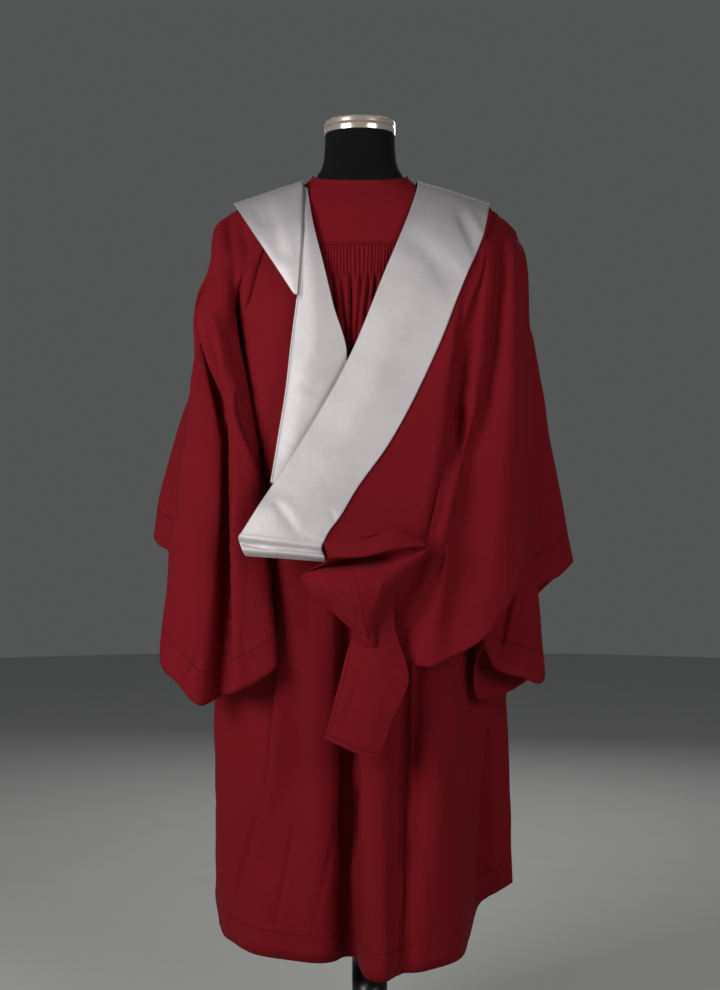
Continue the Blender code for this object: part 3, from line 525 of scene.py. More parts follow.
def body_surface(angle, height):
    """The form's skin: in each level section x = a sign(c) |c|^p and y = b sign(s) |s|^p,
    c and s being the cosine and sine of the angle round from the back's middle."""
    turn = np.radians(np.asarray(angle, float) - 90)
    half = look_up(BODY, 1, height)
    back = BODY_MIDDLE - look_up(BODY, 2, height)
    front = look_up(BODY, 3, height) - BODY_MIDDLE
    c = np.cos(turn)
    s = np.sin(turn)
    depth = np.where(s < 0, back, front)
    x = half * np.sign(c) * np.abs(c)**BODY_SQUARENESS
    y = BODY_MIDDLE + depth * np.sign(s) * np.abs(s)**BODY_SQUARENESS
    return np.stack([x, y, height + 0 * x], axis=-1) * MM


def normals(grid, closed=False):
    """Unit normals: the cross product of the steps across and down."""
    if closed:
        across = np.roll(grid, -1, axis=0) - np.roll(grid, 1, axis=0)
    else:
        across = np.gradient(grid, axis=0)
    normal = np.cross(across, np.gradient(grid, axis=1))
    return normal / np.maximum(np.linalg.norm(normal, axis=2, keepdims=True), 1e-12)


def outward(grid, closed=False):
    """Normals that point away from the form's middle line, or from a tube's own middle line."""
    normal = normals(grid, closed)
    if closed:
        middle = grid.mean(axis=0, keepdims=True)
    else:
        middle = grid * np.array([0, 0, 1]) + np.array([0, 0.02, 0])
    facing = np.einsum("ijk,ijk->ij", normal, grid - middle)
    if closed:
        return normal * np.sign(facing.mean())
    return normal * np.where(facing < 0, -1, 1)[..., None]


def wavy(points, length, height, seed):
    """Soft unevenness: the mean of eight sine waves in directions drawn from a fixed seed."""
    draw = np.random.default_rng(seed)
    ways = draw.normal(size=(8, 3))
    ways /= np.linalg.norm(ways, axis=1, keepdims=True)
    ways *= 2 * np.pi / (length * draw.uniform(0.7, 1.6, (8, 1)))
    shift = draw.uniform(0, 2 * np.pi, 8)
    return height * np.sin(points @ ways.T + shift).mean(axis=-1) * 1.8


def pressed(grid, out, creases, side=-1):
    """Creases pressed into cloth. Each is a line through three points of the view plane, and
    moves the cloth outward by height * exp(-(distance / width)^2), with its own width on each
    side, and fades to nothing at both ends as (4 t (1 - t))^0.6."""
    flat = grid.reshape(-1, 3)
    scale = VIEW_DISTANCE / (VIEW_DISTANCE - side * flat[:, 1])
    seen = np.stack([flat[:, 0] * scale, (flat[:, 2] - VIEW_HEIGHT) * scale + VIEW_HEIGHT], 1) / MM
    facing = np.clip(side * out.reshape(-1, 3)[:, 1] * 3 + 0.6, 0, 1)
    t = np.linspace(0, 1, 41)
    moved = np.zeros(len(flat))
    for ax, az, bx, bz, cx, cz, lower, upper, height in creases:
        line = (np.outer((1 - t) * (1 - 2 * t), (ax, az)) + np.outer(4 * t * (1 - t), (bx, bz))
                + np.outer(t * (2 * t - 1), (cx, cz)))
        way = np.gradient(line, axis=0)
        way /= np.linalg.norm(way, axis=1, keepdims=True)
        reach = 3 * max(lower, upper)
        near = np.flatnonzero((seen > line.min(0) - reach).all(1) & (seen < line.max(0) + reach).all(1)
                              & (facing > 0))
        if len(near) == 0:
            continue
        apart = seen[near][:, None, :] - line[None]
        distance = np.linalg.norm(apart, axis=2)
        k = distance.argmin(axis=1)
        rows = np.arange(len(near))
        gap = apart[rows, k]
        turn = way[k, 0] * gap[:, 1] - way[k, 1] * gap[:, 0]
        along_line = np.abs((way[k] * gap).sum(axis=1))
        width = np.where(turn > 0, upper, lower)
        ends = (k == 0) | (k == len(t) - 1)
        fade = np.maximum(4 * t[k] * (1 - t[k]), 0)**0.6 * np.where(ends & (along_line > 3), 0, 1)
        moved[near] += height * np.exp(-(distance[rows, k] / width)**2) * fade
    moved = (moved * facing).reshape(grid.shape[:2])
    return grid + out * moved[..., None] * MM


def mirrored(creases, side):
    """Creases of the right side, or the same turned over for the left."""
    return [(side * ax, az, side * bx, bz, side * cx, cz, *(lower, upper)[::side], height)
            for ax, az, bx, bz, cx, cz, lower, upper, height in creases]


def uneven(grid, creases, seed, length=0.05, height=0.0005):
    """A grid with slight unevenness along its normals, then its own creases."""
    out = outward(grid)
    return pressed(grid + out * wavy(grid, length, height, seed)[..., None], out, creases)


def put_mesh(name, verts, quads, across, along, material):
    """One mesh object of quads, with a map of metres across and up from the hem."""
    mesh = bpy.data.meshes.new(name)
    mesh.vertices.add(len(verts))
    mesh.vertices.foreach_set("co", np.asarray(verts, np.float32).ravel())
    mesh.loops.add(quads.size)
    mesh.loops.foreach_set("vertex_index", quads.astype(np.int32).ravel())
    mesh.polygons.add(len(quads))
    mesh.polygons.foreach_set("loop_start", np.arange(0, quads.size, 4, dtype=np.int32))
    mesh.polygons.foreach_set("use_smooth", np.ones(len(quads), bool))
    mesh.update(calc_edges=True)
    layer = mesh.uv_layers.new(name="cloth_map")
    pairs = np.stack([across.ravel(), along.ravel()], axis=1).astype(np.float32)
    layer.data.foreach_set("uv", pairs.ravel())
    mesh.materials.append(material)
    mesh.validate()
    made = bpy.data.objects.new(name, mesh)
    bpy.context.scene.collection.objects.link(made)
    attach(made, "root")
    return made


def cloth(name, grid, thick, material, closed=False):
    """A cloth wall about a grid: two layers half a thickness out and in along the normals,
    joined by rims on the free edges. The last row is the hem."""
    grid = grid + np.array([BODY_LEAN, 0, 0])
    normal = normals(grid, closed)
    m, n = grid.shape[:2]
    verts = np.concatenate([(grid + normal * thick / 2).reshape(-1, 3),
                            (grid - normal * thick / 2).reshape(-1, 3)])
    wide = np.concatenate([grid, grid[:1]]) if closed else grid
    step_across = np.linalg.norm(np.diff(wide, axis=0), axis=2)
    step_down = np.linalg.norm(np.diff(wide, axis=1), axis=2)
    u = np.concatenate([np.zeros((1, n)), np.cumsum(step_across, axis=0)])
    v = np.concatenate([np.cumsum(step_down[:, ::-1], axis=1)[:, ::-1], np.zeros((len(wide), 1))], 1)
    i, j = squares(len(wide) - 1, n - 1)
    ci, cj = i + [0, 1, 1, 0], j + [0, 0, 1, 1]
    index = (ci % m) * n + cj
    quads = [index, index[:, ::-1] + m * n]
    us = [u[ci, cj], u[ci, cj][:, ::-1]]
    vs = [v[ci, cj], v[ci, cj][:, ::-1]]
    rims = []
    k = np.arange(len(wide) - 1)
    rims.append((k + 1, 0 * k, k, 0 * k))
    rims.append((k, 0 * k + n - 1, k + 1, 0 * k + n - 1))
    if not closed:
        k = np.arange(n - 1)
        rims.append((0 * k, k, 0 * k, k + 1))
        rims.append((0 * k + m - 1, k + 1, 0 * k + m - 1, k))
    for ia, ja, ib, jb in rims:
        a = (ia % m) * n + ja
        b = (ib % m) * n + jb
        quads.append(np.stack([a, b, b + m * n, a + m * n], axis=1))
        us.append(np.stack([u[ia, ja], u[ib, jb], u[ib, jb], u[ia, ja]], axis=1))
        vs.append(np.stack([v[ia, ja], v[ib, jb], v[ib, jb], v[ia, ja]], axis=1))
    quads, us, vs = np.concatenate(quads), np.concatenate(us), np.concatenate(vs)
    corner = verts[quads]
    volume = (np.einsum("ij,ij->i", corner[:, 0], np.cross(corner[:, 1], corner[:, 2])).sum()
              + np.einsum("ij,ij->i", corner[:, 0], np.cross(corner[:, 2], corner[:, 3])).sum())
    if volume < 0:
        quads, us, vs = quads[:, ::-1], us[:, ::-1], vs[:, ::-1]
    return put_mesh(name, verts, quads, us, vs, material)


def turned(name, profile, around, centre, material):
    """A turned body: its profile of radius and height carried round an upright axis."""
    profile = np.asarray(profile, float)
    turn = np.arange(around) * 2 * np.pi / around
    ring = np.stack([np.cos(turn), np.sin(turn), 0 * turn], axis=1)
    verts = profile[:, None, :1] * ring[None] + np.array([0, 0, 1]) * profile[:, None, 1:]
    verts = verts.reshape(-1, 3) + np.asarray(centre)
    i, j = squares(len(profile) - 1, around)
    ci, cj = i + [0, 0, 1, 1], j + [0, 1, 1, 0]
    quads = ci * around + cj % around
    run = np.concatenate([[0], np.cumsum(np.linalg.norm(np.diff(profile, axis=0), axis=1))])
    return put_mesh(name, verts, quads, cj * 0.1 / around, run[ci], material)


def rounded(profile, steps):
    """A profile with its corners eased: the middle points of each leg joined by parabolas."""
    profile = np.asarray(profile, float)
    t = np.linspace(0, 1, steps)[:, None]
    middle = (profile[1:] + profile[:-1]) / 2
    bends = [(1 - t)**2 * a + 2 * t * (1 - t) * b + t**2 * c
             for a, b, c in zip(middle[:-1], profile[1:-1], middle[1:])]
    return np.concatenate([profile[:1], *bends, profile[-1:]])


def seam_point(angle, height):
    """The yoke's middle layer: the form's skin moved out along its normal by the cloth's rest."""
    angle = np.atleast_1d(np.asarray(angle, float))
    height = np.atleast_1d(np.asarray(height, float))
    beside = body_surface(angle + 1, height) - body_surface(angle - 1, height)
    below = body_surface(angle, height - 1) - body_surface(angle, height + 1)
    normal = np.cross(below, beside)
    normal /= np.linalg.norm(normal, axis=-1, keepdims=True)
    return body_surface(angle, height) + normal * (YOKE_REST + GOWN_WALL / 2)


def yoke_grid():
    """The yoke on the form: angles round the neck by shares of the way to its outer edge."""
    angle = np.linspace(-FRONT_EDGE, FRONT_EDGE, 241)
    top = look_up(YOKE, 1, np.abs(angle))
    bottom = look_up(YOKE, 2, np.abs(angle))
    bottom = np.where(np.abs(angle) <= BACK_CORNER, SEAM_HEIGHT / MM, bottom)
    share = np.linspace(0, 1, 41)
    heights = top[:, None] + (bottom - top)[:, None] * share[None]
    angles = np.repeat(angle[:, None], len(share), axis=1)
    grid = seam_point(angles.ravel(), heights.ravel()).reshape(len(angle), len(share), 3)
    out = outward(grid)
    corded = np.clip((CORD_REACH - np.abs(angle)) / 3, 0, 1)[:, None]
    cord = 0.0016 * np.exp(-((share[None] - 0.985) / 0.018)**2) * corded
    rise = cord + 0.0006 * np.exp(-(share / 0.03)**2)[None]
    soft = wavy(grid, 0.05, 0.0005, 3) * np.sin(np.pi * share)[None]
    return grid + out * (rise + soft)[..., None]


def skirt_ribs(folds, side, tops, ease):
    """Fold lines of a hanging panel: seam, stitch line, chest, knee and hem."""
    ribs = []
    for (angle, cx, cy, kx, ky, hx, hy, hz), top, share in zip(folds, tops, ease):
        chest = np.array([side * cx, cy, CHEST_HEIGHT / MM]) * MM
        knee = np.array([side * kx, ky, KNEE_HEIGHT / MM]) * MM
        hem = np.array([side * hx, hy, hz]) * MM
        near = top + (chest - top) * np.array([share * 0.8, share, 0])
        near[2] = min(STITCH_HEIGHT, top[2] - 0.045)
        ribs.append([top, near, chest, knee, hem])
    return np.array(ribs)


def back_grid(sizes):
    """The back: plain cloth at the sides, and between them pleats whose depth goes as the
    square root of |sin| across, stitched down at the seam and let go at uneven heights."""
    angles = np.array([row[0] for row in BACK_FOLDS], float)
    tops = seam_point(angles, 0 * angles + SEAM_HEIGHT / MM) - np.array([0, 0, SEAM_GAP])
    ribs = skirt_ribs(BACK_FOLDS, 1, tops, np.interp(angles, *BACK_EASE))
    ribs[:, 1, 1] -= np.interp(angles, *BACK_PUFF)
    plain = np.linspace(-BACK_CORNER, -PLEAT_REACH, 60, endpoint=False)
    middle = np.linspace(-PLEAT_REACH, PLEAT_REACH, 8 * sizes.pleats + 1)
    columns = np.concatenate([plain, middle, -plain[::-1]])
    grid = through(ribs, np.interp(columns, angles, np.arange(len(angles))))
    grid[:, 0] = seam_point(columns, 0 * columns + SEAM_HEIGHT / MM) - np.array([0, 0, SEAM_GAP])
    grid = through_down(grid, DOWN_PLACES)
    out = outward(grid)
    phase = (columns + PLEAT_REACH) / (2 * PLEAT_REACH) * sizes.pleats
    inside = (phase > 0) & (phase < sizes.pleats)
    number = np.clip(np.floor(phase), 0, sizes.pleats - 1).astype(int)
    draw = np.random.default_rng(7)
    let_go = draw.uniform(*LET_GO_HEIGHTS, sizes.pleats)[number][:, None]
    deeper = draw.uniform(0.8, 1.25, sizes.pleats)[number][:, None]
    ridge = (np.abs(np.sin(np.pi * phase))**0.5 * inside)[:, None] * deeper
    z = grid[..., 2]
    held = np.clip((z - let_go) / 0.020, 0, 1)**1.5 * np.clip((SEAM_HEIGHT - z) / 0.004 + 0.35, 0, 1)
    grid = grid + out * (sizes.pleat_depth * (ridge - 0.35 * inside[:, None]) * held)[..., None]
    free = np.clip((FREE_HEIGHT - z) / 0.2, 0, 1)
    grid = grid + out * (wavy(grid, 0.09, 0.0016, 5) * free)[..., None]
    return pressed(grid, out, BACK_CREASES)


def front_grid(side, back):
    """A front from its side seam, shared with the back, to its opening."""
    edge = back[-1 if side > 0 else 0]
    angles = np.array([FRONT_CORNER] + [row[0] for row in FRONT_FOLDS], float)
    outer = look_up(YOKE, 2, angles)
    tops = seam_point(side * angles, outer) - np.array([0, 0, SEAM_GAP])
    ribs = skirt_ribs([(0,) * 8] + FRONT_FOLDS, side, tops, 0 * angles + 0.78)
    stations = [np.abs(DOWN_PLACES - k).argmin() for k in (2, 3, 4)]
    ribs[0, 1] = tops[0] + np.array([side * 0.006, 0.012, -0.070])
    ribs[0, 2:] = edge[stations] + np.array([0, -SIDE_LAP, 0])
    places = np.linspace(0, len(ribs) - 1, 121)
    grid = through(ribs, places)
    fine = np.interp(places, np.arange(len(angles)), angles)
    grid[:, 0] = seam_point(side * fine, look_up(YOKE, 2, fine)) - np.array([0, 0, FRONT_GAP])
    grid = through_down(grid, DOWN_PLACES)
    low = DOWN_PLACES >= 2
    pull = np.clip(1 - places, 0, 1)[:, None, None]
    grid[:, low] += (edge[low] + np.array([0, -SIDE_LAP, 0]) - grid[0, low])[None] * pull
    out = outward(grid)
    easy = np.clip((FREE_HEIGHT - grid[..., 2]) / 0.3, 0, 1) * np.clip(places / 0.8, 0, 1)[:, None]
    grid = grid + out * (wavy(grid, 0.10, 0.0022, 11 + side) * easy)[..., None]
    shaped = pressed(grid, out, mirrored(FRONT_CREASES, side), side=1)
    return grid + (shaped - grid) * np.clip(places / 0.5, 0, 1)[:, None, None]


def armhole(side, back, front, lap=0.0):
    """Points round an armhole from the shoulder by the back, the underarm and the front, moved
    over the yoke and back by a share of the lap."""
    upper_back = np.arange(90, BACK_CORNER - 1, -3.0)
    rise = lap * (12 + 20 * np.clip((90 - upper_back) / 24, 0, 1))
    behind = seam_point(side * upper_back, look_up(YOKE, 2, upper_back) + rise)
    high = np.flatnonzero((DOWN_PLACES > 0) & (DOWN_PLACES <= 2))
    inward = np.rint(lap * LAP_COLUMNS * np.clip(2 - DOWN_PLACES[high], 0, 1)).astype(int)
    down = back[-1 - inward if side > 0 else inward, high]
    up = front[0, high][::-1]
    upper_front = np.arange(FRONT_CORNER - 3, 90, -3.0)
    before = seam_point(side * upper_front, look_up(YOKE, 2, upper_front))
    return np.concatenate([behind, down, up, before])


def along(points, share):
    """Points at shares of the way round a closed line."""
    closed = np.concatenate([points, points[:1]])
    run = np.concatenate([[0], np.cumsum(np.linalg.norm(np.diff(closed, axis=0), axis=1))])
    at = np.mod(share, 1.0) * run[-1]
    return np.stack([np.interp(at, run, closed[:, k]) for k in range(3)], axis=-1)


def sleeve_grid(rows, side, head, ring, creases, seed, laps, head_lift):
    """A bell sleeve: a closed round of folds from the armhole to the slanted hem. Its columns
    lie closest together on the side that the table's first half runs down. Its head runs on
    over the yoke and back to the rings of the lap, and is lifted at the shoulder."""
    rows = np.asarray(rows, float)
    out = np.array([side, 0, 0])
    upper = np.maximum(np.cos(2 * np.pi * rows[:, 0]), 0)[:, None]
    start = along(ring, rows[:, 0]) + out * ARMHOLE_GAP
    crown = start + out * (0.006 + head * upper) - np.array([0, 0, 0.018]) * (1 - 0.9 * upper)
    crown = crown - np.array([0, 0.012, 0]) * np.clip(np.sin(2 * np.pi * rows[:, 0]), 0, 1)[:, None]
    arm_height = np.minimum(ARM_HEIGHT, start[:, 2] - 0.044) / MM
    arm = np.stack([side * rows[:, 1], rows[:, 2], arm_height], axis=1) * MM
    elbow = np.stack([side * rows[:, 3], rows[:, 4], 0 * arm_height + ELBOW_HEIGHT / MM], 1) * MM
    hem = np.stack([side * rows[:, 5], rows[:, 6], rows[:, 7]], axis=1) * MM
    ribs = np.stack([start, crown, arm, elbow, hem], axis=1)
    near = np.interp(0.56, rows[:, 0], np.arange(len(rows)))
    places = np.concatenate([np.linspace(0, near, 250, endpoint=False),
                             np.linspace(near, len(rows), 80, endpoint=False)])
    grid = through(ribs, places, closed=True)
    fine = np.interp(places, np.arange(len(rows) + 1), np.append(rows[:, 0], 1.0))
    front = np.maximum(-np.sin(2 * np.pi * fine), 0)[:, None]
    grid[:, 0] = along(ring, fine) + out * (ARMHOLE_GAP + FRONT_EASE * front)
    down = np.concatenate([np.linspace(0, 2, 26, endpoint=False), np.linspace(2, 4, 90)])
    grid = through_down(grid, down)
    away = outward(grid, True)
    easy = np.clip(down / 1.2, 0, 1)[None]
    grid = grid + away * (wavy(grid, 0.08, 0.0014, seed) * easy)[..., None]
    shaped = pressed(grid, away, creases)
    shaped = pressed(shaped, away, mirrored(SLEEVE_FRONT_CREASES, side), side=1)
    grid = grid + (shaped - grid) * np.clip(down / 0.5, 0, 1)[None, :, None]
    behind = np.interp(fine, [0, 0.03, 0.30, 0.42, 0.9, 1.0], [0.6, 1, 1, 0, 0, 0.6])
    top = np.interp(fine, [0, 0.05, 0.13, 0.85, 0.95, 1.0], [1, 0.8, 0, 0, 0.8, 1])
    lift = (np.array([0, -0.0040, 0.0010]) * behind[:, None]
            + np.array([0, 0, head_lift]) * top[:, None])
    grid = grid + lift[:, None] * (np.clip(1 - down / 1.1, 0, 1)**2)[None, :, None]
    shares = np.linspace(1, 0, len(laps), endpoint=False)
    clear = np.array([0, -0.0011, 0.0006]) * behind[:, None]
    flap = [along(lap, fine) + lift * (1 - share)**0.7 + clear for share, lap in zip(shares, laps)]
    return np.concatenate([np.stack(flap, axis=1), grid], axis=1)


def moved_in(grid, distance):
    """A grid moved along its normals toward the body's middle line."""
    normal = normals(grid)
    away = np.sign(np.einsum("ijk,ijk->ij", normal, grid - np.array([0, 0.02, 1.2])))
    return grid - normal * away[..., None] * distance


def band_left_grid(shoulder):
    """The long band, its upper edge tucked under the shoulder piece's inner edge."""
    grid = spread(BAND_LEFT, 24, TUCK_STEPS)
    under = moved_in(shoulder, HOOD_WALL + TUCK_GAP)
    edge = (under[-1] * 0.85 + under[-2] * 0.15)[5 * HOOD_STEPS:8 * HOOD_STEPS + 1]
    places = np.linspace(0, len(edge) - 1, 3 * TUCK_STEPS + 1)
    low = np.floor(places).astype(int)
    high = np.minimum(low + 1, len(edge) - 1)
    tucked = edge[low] + (edge[high] - edge[low]) * (places - low)[:, None]
    pull = np.linspace(1, 0, 9)[:, None, None]
    grid[:9, :len(tucked)] += (tucked - grid[0, :len(tucked)])[None] * pull
    return uneven(grid, BAND_LEFT_CREASES, 23)


def cape_grid(band):
    """The cape, tucked under the band's outer edge, then out over the folds to its hem."""
    under = moved_in(band, HOOD_WALL + TUCK_GAP)
    rows = np.arange(4 * HOOD_STEPS, 13 * HOOD_STEPS + 1)
    ribs = np.asarray(CAPE_RIBS, float).reshape(len(CAPE_RIBS), -1, 3) * MM
    places = np.arange(len(rows)) / HOOD_STEPS
    down = np.swapaxes(spline(CAPE_KNOTS, np.swapaxes(ribs, 0, 1), places), 0, 1)
    lines = np.concatenate([under[-1:, rows], down])
    inner = under[-5, rows]
    spans = np.arange((len(lines) - 1) * 20 + 1) / 20
    grid = np.concatenate([inner[None], through(lines, spans)])
    out = outward(grid)
    easy = np.clip(np.arange(len(grid)) / 30, 0, 1)[:, None]
    grid = grid + out * (wavy(grid, 0.08, 0.0014, 29) * easy)[..., None]
    shaped = pressed(grid, out, CAPE_CREASES)
    return grid + (shaped - grid) * easy[..., None]


def joined(operation, turned_round=False):
    """A method that joins two values by a Math node."""
    def join(self, other):
        first, second = (other, self) if turned_round else (self, other)
        return self.paint.add("ShaderNodeMath", {"operation": operation}, {0: first, 1: second})
    return join


class Socket:
    """A node socket whose sums, differences and products add Math nodes."""
    __add__, __radd__ = joined("ADD"), joined("ADD", True)
    __sub__, __rsub__ = joined("SUBTRACT"), joined("SUBTRACT", True)
    __mul__, __rmul__ = joined("MULTIPLY"), joined("MULTIPLY", True)

    def __init__(self, paint, link):
        self.paint = paint
        self.link = link


class Paint:
    """The node tree of one material."""

    def __init__(self, name, **constants):
        self.material = bpy.data.materials.new(name)
        self.material.use_nodes = True
        self.tree = self.material.node_tree
        self.shader = self.tree.nodes["Principled BSDF"]
        for socket, value in constants.items():
            self.shader.inputs[socket.replace("_", " ")].default_value = value

    def add(self, kind, settings=None, sockets=None, output=0):
        """One node: its settings first, then the values or links of its sockets."""
        node = self.tree.nodes.new(kind)
        for key, value in (settings or {}).items():
            setattr(node, key, value)
        for key, value in (sockets or {}).items():
            if isinstance(value, Socket):
                self.tree.links.new(value.link, node.inputs[key])
            else:
                node.inputs[key].default_value = value
        return Socket(self, node.outputs[output])

    def feed(self, **links):
        """Link sockets of the shader."""
        for name, value in links.items():
            self.tree.links.new(value.link, self.shader.inputs[name.replace("_", " ")])

    def place(self):
        """Object coordinates."""
        return self.add("ShaderNodeTexCoord", output=3)

    def cloth_map(self):
        """Metres across and metres up from the hem, as two values."""
        both = self.add("ShaderNodeUVMap", {"uv_map": "cloth_map"})
        return (self.add("ShaderNodeSeparateXYZ", None, {0: both}, 0),
                self.add("ShaderNodeSeparateXYZ", None, {0: both}, 1))

    def noise(self, vector, scale, detail=2.0, roughness=0.5):
        """Noise from 0 to 1 at so many cells a metre."""
        return self.add("ShaderNodeTexNoise", None, {
            "Vector": vector, "Scale": scale, "Detail": detail, "Roughness": roughness})

    def stripes(self, value, pitch):
        """The sine of a value, from 0 to 1, once in every pitch."""
        turn = value * (2 * math.pi / pitch)
        return self.add("ShaderNodeMath", {"operation": "SINE"}, {0: turn}) * 0.5 + 0.5

    def off(self, value, line):
        """How far a value is from a line, on either side."""
        return self.add("ShaderNodeMath", {"operation": "ABSOLUTE"}, {0: value - line})

    def clamp(self, value, low, high):
        """0 at low to 1 at high, eased at both ends."""
        return self.add("ShaderNodeMapRange", {"interpolation_type": "SMOOTHSTEP"}, {
            "Value": value, "From Min": low, "From Max": high})

    def mix(self, share, first, second):
        """Two colours mixed by a share."""
        node = self.tree.nodes.new("ShaderNodeMix")
        node.data_type = "RGBA"
        for slot, value in ((0, share), (6, first), (7, second)):
            if isinstance(value, Socket):
                self.tree.links.new(value.link, node.inputs[slot])
            else:
                node.inputs[slot].default_value = value
        return Socket(self, node.outputs[2])

    def bump(self, height, distance, strength=1.0, below=None):
        """A bump whose height is in units of the distance."""
        sockets = {"Height": height, "Distance": distance, "Strength": strength}
        if below is not None:
            sockets["Normal"] = below
        return self.add("ShaderNodeBump", None, sockets)


def colour4(colour, share=1.0):
    """A colour with its share of brightness and full alpha."""
    return (*[c * share for c in colour], 1.0)


def red_cloth(name, colours, stitch_lines=(), hem_depth=0.0):
    """Matte fine suiting: a twill weave, slightly mixed yarns, a hem whose double cloth shows
    and rows of stitches that draw the cloth in, with painted shade darkening their grooves."""
    paint = Paint(name, Sheen_Weight=0.04, Sheen_Roughness=0.40,
                  Sheen_Tint=colour4(colours.sheen), Specular_IOR_Level=0.12)
    place = paint.place()
    across, up = paint.cloth_map()
    broad = paint.noise(place, 5.0, 3.0)
    slub = paint.noise(place, 420.0, 2.0, 0.6)
    soft = paint.noise(place, 60.0, 3.0, 0.55)
    twill = paint.stripes(across + up, TWILL_PITCH)
    yarn = paint.stripes(across - up, YARN_PITCH)
    shade = 0.80 + broad * 0.20 + slub * 0.16 + twill * 0.05 + soft * 0.06
    tone = paint.clamp(shade, 0.78, 1.24)
    groove = None
    for height in stitch_lines:
        distance = paint.off(up, height)
        dash = paint.clamp(paint.stripes(across, RED_STITCH), 0.25, 0.6)
        line = 1.0 - paint.clamp(distance, 0.0003, 0.0022)
        pulled = line * (0.45 + dash * 0.55)
        groove = pulled if groove is None else groove + pulled
    height = slub * 0.5 + twill * 0.35 + yarn * 0.15
    fine = paint.bump(height, 0.00035, 0.6)
    folds = paint.bump(soft, 0.0012, 0.5, fine)
    base = paint.mix(tone, colour4(colours.cloth_deep), colour4(colours.cloth_lit))
    if groove is not None:
        # Painted shade: the stitch grooves are darkened toward a deep crimson
        base = paint.mix(groove * 0.42, base, colour4(colours.cloth_deep, 0.45))
        folds = paint.bump(1.0 - groove, 0.0011, 0.9, folds)
    if hem_depth:
        double = 1.0 - paint.clamp(up, hem_depth - 0.0012, hem_depth + 0.0012)
        beside = 1.0 - paint.clamp(paint.off(up, hem_depth), 0.001, 0.014)
        pucker = paint.noise(place, 140.0, 2.0) * beside
        folds = paint.bump(double + pucker * 1.4, 0.0009, 0.9, folds)
    paint.feed(Base_Color=base, Roughness=0.80 + slub * 0.14, Normal=folds)
    return paint.material


def silver_satin(name, colours, stitch_line=None):
    """Satin: long floats across the cloth, soft bright sheen and slight cross streaks, with painted
    shade high over the shoulders and along the stitch line.
    """
    paint = Paint(name, Metallic=0.30, Specular_IOR_Level=0.35, Anisotropic=0.2,
                  Sheen_Weight=0.10, Sheen_Roughness=0.4)
    place = paint.place()
    across, up = paint.cloth_map()
    streak_place = paint.add("ShaderNodeMapping", None, {
        "Vector": place, "Scale": (90.0, 90.0, 900.0)})
    streak = paint.noise(streak_place, 1.0, 2.0)
    grain = paint.noise(place, 700.0, 1.0)
    broad = paint.noise(place, 14.0, 3.0)
    ripple = paint.noise(place, 38.0, 2.0, 0.45)
    tone = paint.clamp(broad * 0.6 + streak * 0.3 + grain * 0.25, 0.35, 0.80)
    base = paint.mix(tone, colour4(colours.satin_shade), colour4(colours.satin_light))
    # Painted shade: above 1.38 m the satin is mixed toward a dim silver, as if turned up away from the
    # lamps
    height = paint.add("ShaderNodeSeparateXYZ", None, {0: place}, 2)
    over = paint.clamp(height + broad * 0.10, *SATIN_SHADE_HEIGHTS)
    base = paint.mix(over * 0.62, base, colour4(colours.satin_painted_shade))
    folds = paint.bump(streak * 0.5 + grain * 0.3, 0.00018, 0.35)
    folds = paint.bump(ripple, 0.0022, 0.35, folds)
    if stitch_line is not None:
        distance = paint.off(across, stitch_line)
        dash = paint.clamp(paint.stripes(up, SATIN_STITCH), 0.3, 0.6)
        line = (1.0 - paint.clamp(distance, 0.0002, 0.0016)) * (0.5 + dash * 0.5)
        # Painted shade: the stitch line is darkened toward a dim silver
        base = paint.mix(line * 0.5, base, colour4(colours.satin_shade, 0.5))
        folds = paint.bump(1.0 - line, 0.0008, 0.8, folds)
    paint.feed(Base_Color=base, Roughness=0.50 + grain * 0.08 + broad * 0.05, Normal=folds)
    return paint.material


def black_jersey(name, colours):
    """Black jersey: fine ribs of knitted loops and a faint nap."""
    paint = Paint(name, Sheen_Weight=0.03, Sheen_Roughness=0.5, Specular_IOR_Level=0.12)
    place = paint.place()
    across, up = paint.cloth_map()
    rib = paint.stripes(across, RIB_PITCH)
    loop = paint.stripes(up, LOOP_PITCH)
    nap = paint.noise(place, 300.0, 2.0)
    base = paint.mix(nap, colour4(colours.jersey, 0.7), colour4(colours.jersey, 1.5))
    paint.feed(Base_Color=base, Roughness=0.82 + nap * 0.12,
               Normal=paint.bump(rib * 0.5 + loop * 0.3 + nap * 0.4, 0.0003, 0.7))
    return paint.material


def black_lacquer(name, colours):
    """Black lacquer: nearly even, with a faint ripple and dust."""
    paint = Paint(name, Specular_IOR_Level=0.5)
    place = paint.place()
    dust = paint.noise(place, 240.0, 3.0, 0.7)
    ripple = paint.noise(place, 22.0, 2.0)
    base = paint.mix(paint.clamp(dust, 0.62, 0.9), colour4(colours.lacquer),
                     colour4(colours.lacquer, 3.0))
    paint.feed(Base_Color=base, Roughness=0.24 + dust * 0.16, Normal=paint.bump(ripple, 0.0004, 0.3))
    return paint.material


def bright_chrome(name, colours):
    """Chromed cap: turned lines and a faint haze of handling."""
    paint = Paint(name, Metallic=0.75)
    place = paint.place()
    across, up = paint.cloth_map()
    drawn = paint.add("ShaderNodeCombineXYZ", None, {0: up * 2600.0, 1: across * 8.0})
    lines = paint.noise(drawn, 1.0, 2.0)
    haze = paint.noise(place, 30.0, 3.0)
    base = paint.mix(haze, colour4(colours.chrome, 0.92), colour4(colours.chrome, 1.05))
    paint.feed(Base_Color=base, Roughness=0.12 + haze * 0.08 + lines * 0.06,
               Normal=paint.bump(lines, 0.00012, 0.25))
    return paint.material


def pale_floor(name):
    """Plain pale matte floor."""
    paint = Paint(name, Specular_IOR_Level=0.2)
    speck = paint.noise(paint.place(), 6.0, 3.0)
    base = paint.mix(speck, (0.56, 0.56, 0.55, 1.0), (0.60, 0.60, 0.59, 1.0))
    paint.feed(Base_Color=base, Roughness=0.85 + speck * 0.05)
    return paint.material


def colour_property(name, description, default):
    """A colour in the panel."""
    return bpy.props.FloatVectorProperty(
        name=name, description=description, default=default, size=3, min=0, max=1, subtype="COLOR")


